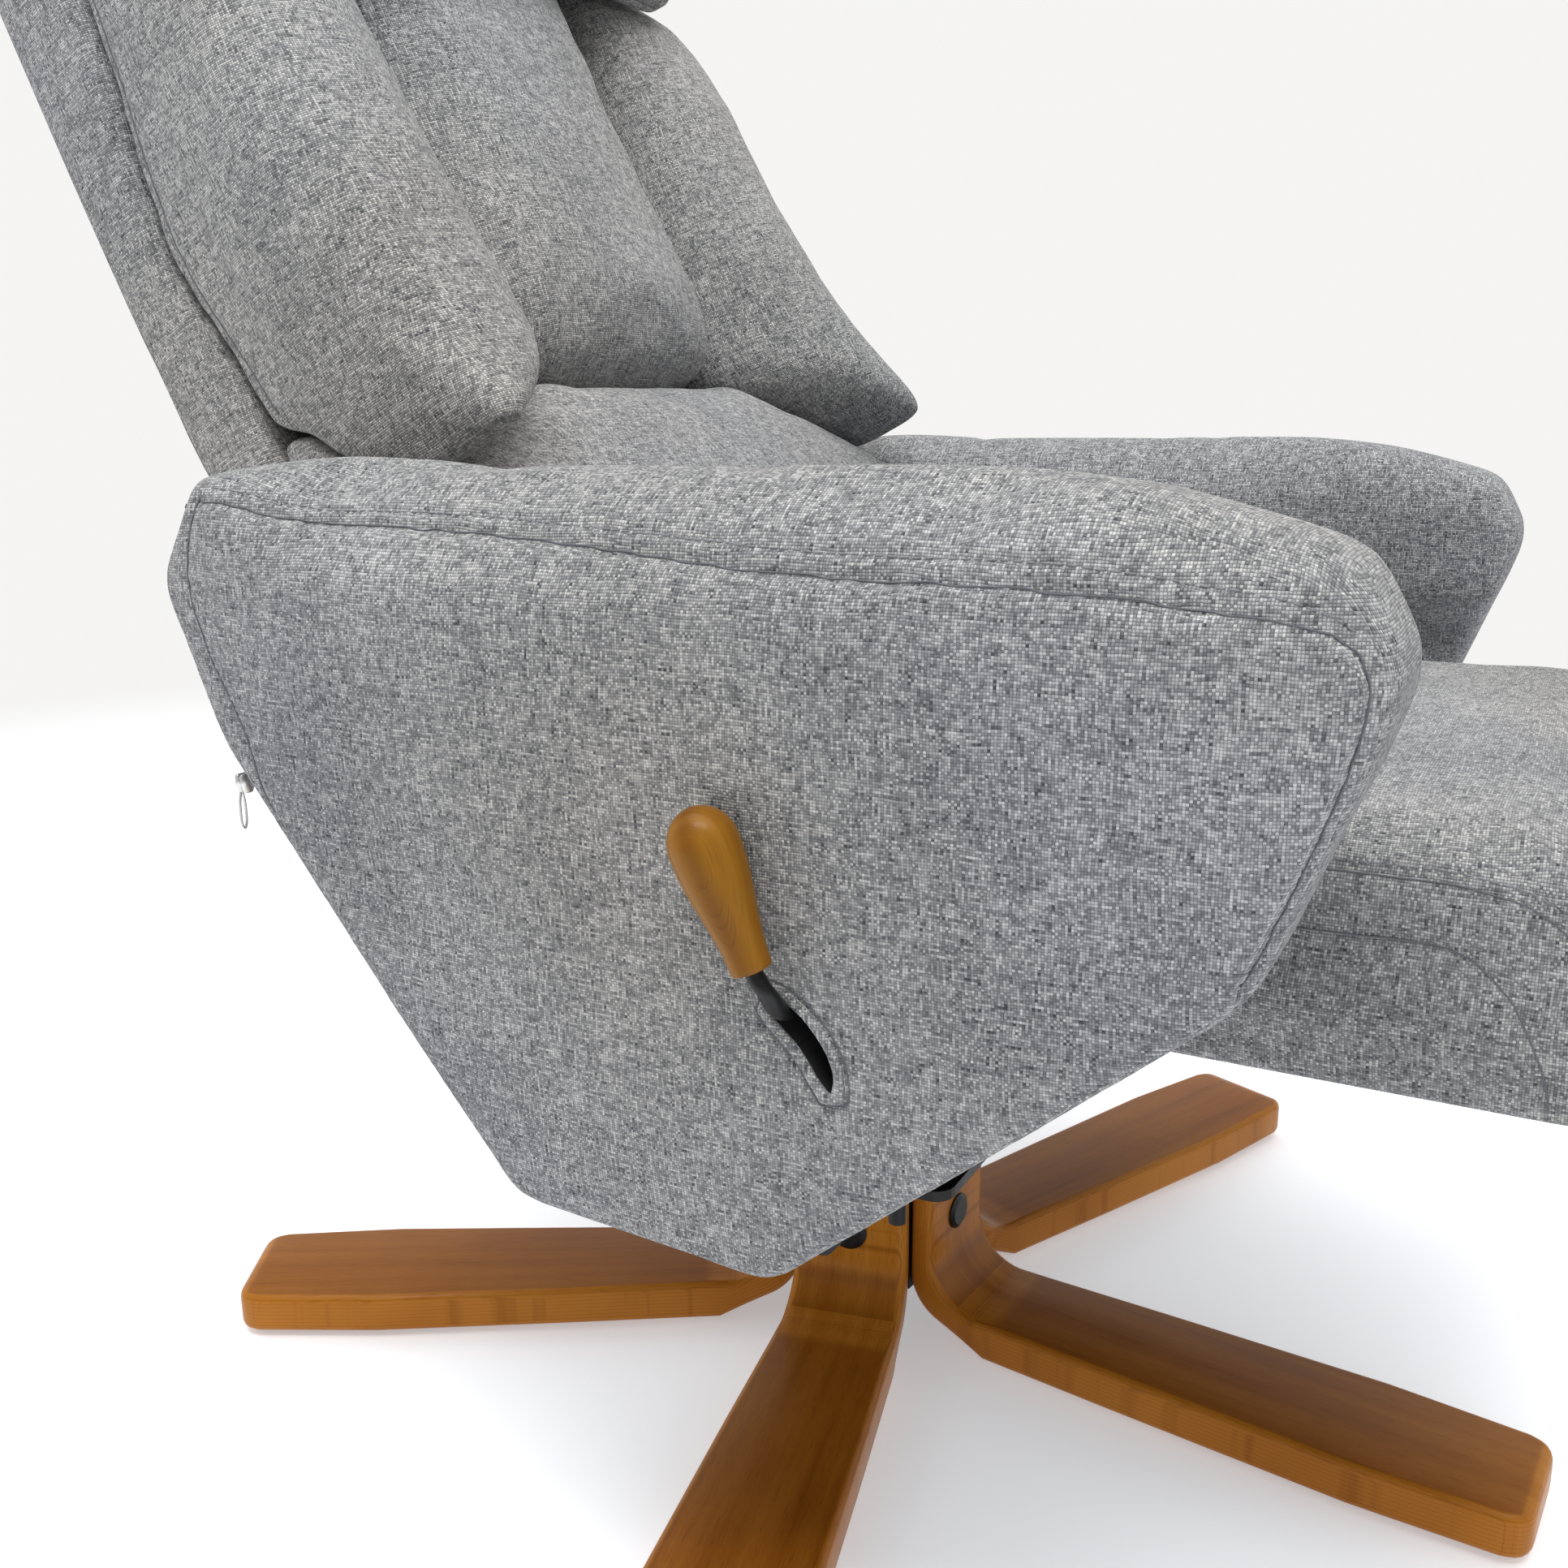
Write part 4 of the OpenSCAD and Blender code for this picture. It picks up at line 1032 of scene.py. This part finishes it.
def cut_finer(obj, centre, reach, cuts):
    """Cuts the faces near a place into smaller ones."""
    work = bmesh.new()
    work.from_mesh(obj.data)
    spot = Vector(centre) * MM
    near = [e for e in work.edges if all((v.co - spot).length < reach * MM for v in e.verts)]
    bmesh.ops.subdivide_edges(work, edges=near, cuts=cuts, use_grid_fill=True)
    work.to_mesh(obj.data)
    work.free()
    shade_smooth(obj.data)


def build_slot(cover):
    """The slit in the right arm's outer face that the lever moves in, with its turned and stitched edge."""
    middle = math.radians((SLOT_FROM + SLOT_TO) / 2)
    centre = (-ARM_OUT, PIVOT[0] + SLOT_R * math.cos(middle), PIVOT[1] + SLOT_R * math.sin(middle))
    cut_finer(cover, centre, 34, 3)
    edge, lip = (curve_through(at_x(-ARM_OUT, *slot_ring(grow)), 1.0, closed=True) for grow in (5.4, 2.2))
    edge = laid_on(tree_of(cover), edge, 0.0)
    carve(cover, edge, 0.9, 1.3)
    tree = tree_of(cover)
    turned = sweep(laid_on(tree, lip, 0.1), 2.5, sides=12, closed=True, flat=0.5, up=(1, 0, 0))
    piece("slot_facing", turned, upright_cloth, "chassis", "upholstery")
    thread = sweep(laid_on(tree, edge, 0.0), 0.4, sides=6, closed=True)
    piece("slot_stitch", thread, seam_thread, "chassis", "upholstery")
    hole = slot_ring(0)
    points = get_points(cover)
    near = np.linalg.norm(points - centre, axis=1) < 40
    outside = np.flatnonzero((points[:, 0] < -(ARM_OUT - 30)) & near)
    y, z = points[outside, 1], points[outside, 2]
    distance = in_outline(hole, y, z)
    slope_y = (in_outline(hole, y + 0.05, z) - in_outline(hole, y - 0.05, z)) / 0.1
    slope_z = (in_outline(hole, y, z + 0.05) - in_outline(hole, y, z - 0.05)) / 0.1
    snap = np.abs(distance) < 0.42
    points[outside, 1] -= np.where(snap, distance * slope_y, 0)
    points[outside, 2] -= np.where(snap, distance * slope_z, 0)
    sunk = outside[(distance < 0) & ~snap]
    points[sunk, 0] += 24
    set_points(cover, points)
    # The sunk faces inside the slit get the near-black material: painted shade for the inside of the arm.
    dress(cover, upright_cloth, painted_slot_shade)
    deep = np.zeros(len(points), int)
    deep[sunk] = 1
    corners = np.zeros(len(cover.data.loops), int)
    cover.data.loops.foreach_get("vertex_index", corners)
    starts = np.zeros(len(cover.data.polygons), int)
    cover.data.polygons.foreach_get("loop_start", starts)
    cover.data.polygons.foreach_set("material_index", np.maximum.reduceat(deep[corners], starts))


# ---------------------------------------------------------------- lever

def build_lever():
    """The bent rod from its boss on the shaft out through the slit, and the turned grip on its end."""
    a = math.radians(SLOT_FROM)
    turned = [(x, PIVOT[0] + r * math.cos(a), PIVOT[1] + r * math.sin(a))
              for x, r in ((-342, 20), (-344, 34), (-352, 49), (-371, 53.5))]
    foot, head = np.array((-385.0, -128.0, 385.0)), np.array((-389.0, -104.0, 447.0))
    length = float(np.linalg.norm(head - foot))
    along = (head - foot) / length
    path = curve_through([*turned, (-383, -133, 376), foot, foot + 14 * along], 1.5)
    piece("rod", sweep(path, 4.3, sides=16, flat=0.8), black_steel, "lever", "black_steel", "lever_rod")
    vertices, faces = lathe([(0, 0), (9.4, 0), (10, 0.6), (10, 7.4), (9.4, 8), (0, 8)])
    boss = placed(vertices, (-336, *PIVOT), (-1, 0, 0))
    piece("rod_boss", (boss, faces), black_steel, "lever", "black_steel")
    t = np.linspace(0, 1, 26)
    swelling = 8.3 + 5.6 * (1 - np.cos(math.pi * np.clip(t * 1.02, 0, 1))) / 2
    stem = [(r, 1.2 + s * (length - 17.5)) for r, s in zip(swelling, t)]
    dome = [(13.9 * math.cos(b), length - 16 + 15.4 * math.sin(b)) for b in np.linspace(0.06, 1.52, 14)]
    profile = [(0, 0), (6.8, 0), (7.7, 0.35), *stem, *dome, (0, length - 0.6)]
    vertices, faces = lathe(profile, 56)
    shape = placed(vertices, foot, along), faces
    grip = piece("grip", shape, handle_wood, "lever", "leg_wood", "lever_handle")
    across, through, along = vertices.T
    give_grain(grip, np.stack([along, across * 2 + 90, through * 0.05 + 1.3], axis=1))


# ---------------------------------------------------------------- zips

def build_zip(side, hand, cover):
    """Coil zip let into the rear edge of an arm, with a slider and a wire pull."""
    path = at_x(side * (ARM_OUT - 15), (186, 551), (201, 533), (206, 515), (199, 488), (188, 460),
                (180, 440), (171, 424))
    line = laid_on(tree_of(cover), curve_through(path, 1.6), 0.2)
    carve(cover, line, 1.6, 3.4)
    tree = tree_of(cover)
    line = laid_on(tree, line, 0.1)
    outward = np.array([np.array(tree.find_nearest(Vector(p))[1]) for p in line])
    ahead = np.gradient(line, axis=0)
    ahead /= np.linalg.norm(ahead, axis=1, keepdims=True)
    sideways = np.cross(ahead, outward)
    sideways /= np.linalg.norm(sideways, axis=1, keepdims=True)
    section = [(-4.4, 0.0), (-4.4, 0.6), (-1.2, 0.9), (1.2, 0.9), (4.4, 0.6), (4.4, 0.0), (0, -0.8)]
    vertices = np.stack([line + w * sideways + h * outward for w, h in section], axis=1).reshape(-1, 3)
    band = vertices, tube_faces(len(line), len(section))
    piece("zip_band_" + hand, band, zip_cloth, "chassis", "zip_tape", "zip_tape_" + hand)
    teeth = []
    for i in range(len(line) - 1):
        lean = 0.45 if i % 2 else -0.45
        middle = line[i] + 1.1 * outward[i]
        run = [middle + s * 1.9 * sideways[i] + s * lean * ahead[i] + (0.5 - 0.35 * s * s) * outward[i]
               for s in (-1, -0.4, 0.4, 1)]
        teeth.append(sweep(run, 0.55, sides=6, up=outward[i]))
    piece("zip_teeth_" + hand, joined(teeth), zip_cloth, "chassis", "zip_tape")
    build_slider(hand)
    build_pull(hand)


def box_of(node):
    """Low and high corners of a CAD node's box, in millimetres."""
    return [np.array(corner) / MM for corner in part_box(node)]


def build_slider(hand):
    """Two shaped plates with a pin between them and a bridge that holds the pull."""
    low, high = box_of("zip_slider_" + hand)
    x, y, _ = (low + high) / 2
    z = low[2] + 6
    plate = rounded([(-4.2, -1), (-2.2, -6), (2.2, -6), (4.2, -1), (4.2, 3.4), (-4.2, 3.4)],
                    [1, 1.6, 1.6, 1, 1.6, 1.6], 4)
    parts = []
    for near, far in ((-3.0, -1.8), (-0.2, 1.2)):
        rings = [np.array([x + p[0], y + depth, z + p[1]]) for depth in (near, far) for p in plate]
        parts.append((rings, tube_faces(2, len(plate))))
    bridge = at_x(x, *((y + dy, z + dz) for dy, dz in ((1, 1.8), (3, 1.4), (3.6, 0), (3.2, -2), (1.2, -3))))
    parts.append(sweep(curve_through(bridge, 0.5), 0.8, sides=10, up=(1, 0, 0)))
    parts.append(sweep([(x, y - 2, z), (x, y + 0.5, z)], 1.5, sides=10))
    piece("slider_" + hand, joined(parts), zip_metal, "chassis", "zip_metal", "zip_slider_" + hand)


def build_pull(hand):
    """The wire loop that hangs from the slider's bridge."""
    name = "zip_pull_" + hand
    low, high = box_of(name)
    x, y, _ = (low + high) / 2
    top, bottom, half = high[2] - 0.9, low[2] + 0.9, 1.5
    loop = [(x - 0.7, y, top - 3), (x - half, y, top - 8), (x - half, y, bottom + 3), (x, y, bottom),
            (x + half, y, bottom + 3), (x + half, y, top - 8), (x + 0.7, y, top - 3), (x, y, top)]
    wire = sweep(curve_through(loop, 0.7, closed=True), 0.62, sides=10, closed=True, up=(0, 1, 0))
    piece("pull_" + hand, wire, zip_metal, name, "zip_metal", name)


# ---------------------------------------------------------------- dust cover, stage and camera

def build_dust_cover():
    """Thin cloth stapled under the seat frame, sagging a little, with a closed edge."""
    low, high = box_of("seat_dust_cover")
    nx, ny = 41, 45
    s, t = np.meshgrid(np.linspace(-1, 1, nx), np.linspace(-1, 1, ny), indexing="ij")
    x, y = np.meshgrid(np.linspace(low[0], high[0], nx), np.linspace(low[1], high[1], ny), indexing="ij")
    ripple = 0.5 * np.sin(9 * s + 2 * t) * np.sin(7 * t)
    sag = (3.0 + ripple) * (1 - s**4) * (1 - t**4)
    top = np.stack([x, y, high[2] - 0.1 - sag], axis=2).reshape(-1, 3)
    bottom = top - np.array([0, 0, 0.8])
    number = np.arange(nx * ny).reshape(nx, ny)
    corners = [number[:-1, :-1], number[1:, :-1], number[1:, 1:], number[:-1, 1:]]
    faces = np.stack(corners, axis=2).reshape(-1, 4)
    under = nx * ny + faces[:, ::-1]
    rim = np.concatenate([number[:, 0], number[-1, 1:], number[-2::-1, -1], number[0, -2:0:-1]])
    after = np.roll(rim, -1)
    wall = np.stack([rim, nx * ny + rim, nx * ny + after, after], axis=1)
    shape = np.concatenate([top, bottom]), np.concatenate([faces, under, wall])
    cover = piece("dust_sheet", shape, dust_cloth, "seat", "dust_cloth", "seat_dust_cover")


def toward_light(g, direction):
    """1 over most of the surround, falling off on the side away from the lamps."""
    inputs = {0: direction, 1: (-0.88, -0.47, 0.0)}
    away = g.node("VectorMath", inputs, operation="DOT_PRODUCT").outputs["Value"]
    return g.remap(away, 0.1, 0.85, 1.0, 0.62)


def build_floor(wall):
    """Pale floor that fades into the surround, whose colour is wall. Near the chair the floor glows faintly
    blue-white: painted light that brightens the shade under the chair.
    """
    g = Graph("floor")
    place = g.node("TexCoord").outputs["Object"]
    distance = g.node("VectorMath", {0: place}, operation="LENGTH").outputs["Value"]
    fade = g.remap(distance, 1.1, 2.8)
    fine = g.noise(place, 300.0, 3.0)
    pale = g.ramp(fine, (0.3, (0.86, 0.875, 0.9)), (0.7, (0.88, 0.895, 0.92)))
    g.set(colour=pale, roughness=0.6, specular=0.2)
    # The floor glows faintly blue-white: painted light that lifts the shade under the chair and lights the
    # chair from below.
    g.shader.inputs["Emission Color"].default_value = (0.93, 0.96, 1.0, 1)
    g.shader.inputs["Emission Strength"].default_value = 0.36
    outward = g.node("VectorMath", {0: place}, operation="NORMALIZE").outputs["Vector"]
    glow = g.node("Emission", {"Color": (*wall, 1), "Strength": toward_light(g, outward)})
    blend = g.node("MixShader", {0: fade, 1: g.shader.outputs[0], 2: glow.outputs[0]})
    g.put(g.tree.nodes["Material Output"].inputs["Surface"], blend.outputs[0])
    rings, around = (500, 1500, 4000, 40000), 96
    angles = np.linspace(0, 2 * math.pi, around, endpoint=False)
    vertices = [(0, 0, FLOOR_Z)]
    vertices += [(r * math.cos(a), r * math.sin(a), FLOOR_Z) for r in rings for a in angles]
    faces = []
    for k in range(around):
        m = (k + 1) % around
        faces.append((0, 1 + k, 1 + m))
        for first in range(1, 1 + (len(rings) - 1) * around, around):
            faces.append((first + k, first + around + k, first + around + m, first + m))
    floor = make("floor", vertices, faces)
    dress(floor, g.block)


def build_stage():
    """Floor with a faint painted glow, even surround, and soft lamps from above."""
    wall = (0.915, 0.908, 0.9)
    world = bpy.data.worlds.new("surround")
    bpy.context.scene.world = world
    sky = Graph("surround", world)
    lit = toward_light(sky, sky.node("TexCoord").outputs["Generated"])
    sky.put(sky.tree.nodes["Background"].inputs[0], sky.mix(lit, (0, 0, 0, 1), (*wall, 1)))
    build_floor(wall)
    lamps = [("ceiling", (0.2, 0.1, 2.9), 3.0, 52), ("lamp", (-1.0, -0.7, 2.5), 0.6, 14),
             ("second_lamp", (-1.2, 0.0, 2.5), 0.6, 14)]
    for name, spot, size, power in lamps:
        light = bpy.data.objects.new(name, bpy.data.lights.new(name, "AREA"))
        light.data.size = size
        light.data.energy = power
        light.location = spot
        light.rotation_mode = "QUATERNION"
        light.rotation_quaternion = (Vector((0, 0, 0.4)) - Vector(spot)).to_track_quat("-Z", "Y")
        bpy.context.scene.collection.objects.link(light)
    bpy.context.scene.view_settings.view_transform = "Standard"


def build_camera():
    """Close view of the sitter's right arm and the lever."""
    yaw, pitch, roll = math.radians(28.32), math.radians(13.77), math.radians(-0.42)
    ahead = Vector((math.cos(yaw) * math.cos(pitch), math.sin(yaw) * math.cos(pitch), -math.sin(pitch)))
    right = Vector((math.sin(yaw), -math.cos(yaw), 0))
    up = right.cross(ahead)
    across = right * math.cos(roll) + up * math.sin(roll)
    upward = up * math.cos(roll) - right * math.sin(roll)
    camera = bpy.data.objects.new("camera", bpy.data.cameras.new("camera"))
    camera.data.sensor_width = 36
    camera.data.lens = 34.87
    camera.data.clip_start = 0.02
    turn = Matrix((across, upward, -ahead)).transposed().to_4x4()
    camera.matrix_world = Matrix.Translation((-0.8508, -0.393, 0.5882)) @ turn
    bpy.context.scene.collection.objects.link(camera)
    bpy.context.scene.camera = camera


# ---------------------------------------------------------------- assembly

build_camera()
build_stage()
dress_frame()
build_legs()
build_lever()
build_dust_cover()
cover_list = cover_plans()
covers = build_covers(cover_list)
build_arm_seams(covers)
build_seat_seams(covers["seat_cover"])
build_back_seams(covers)
for arm_side, arm_hand in HANDS:
    build_zip(arm_side, arm_hand, covers["arm_cover_" + arm_hand])
finish_covers(covers, cover_list)
build_slot(covers["arm_cover_right"])

bpy.context.view_layer.update()
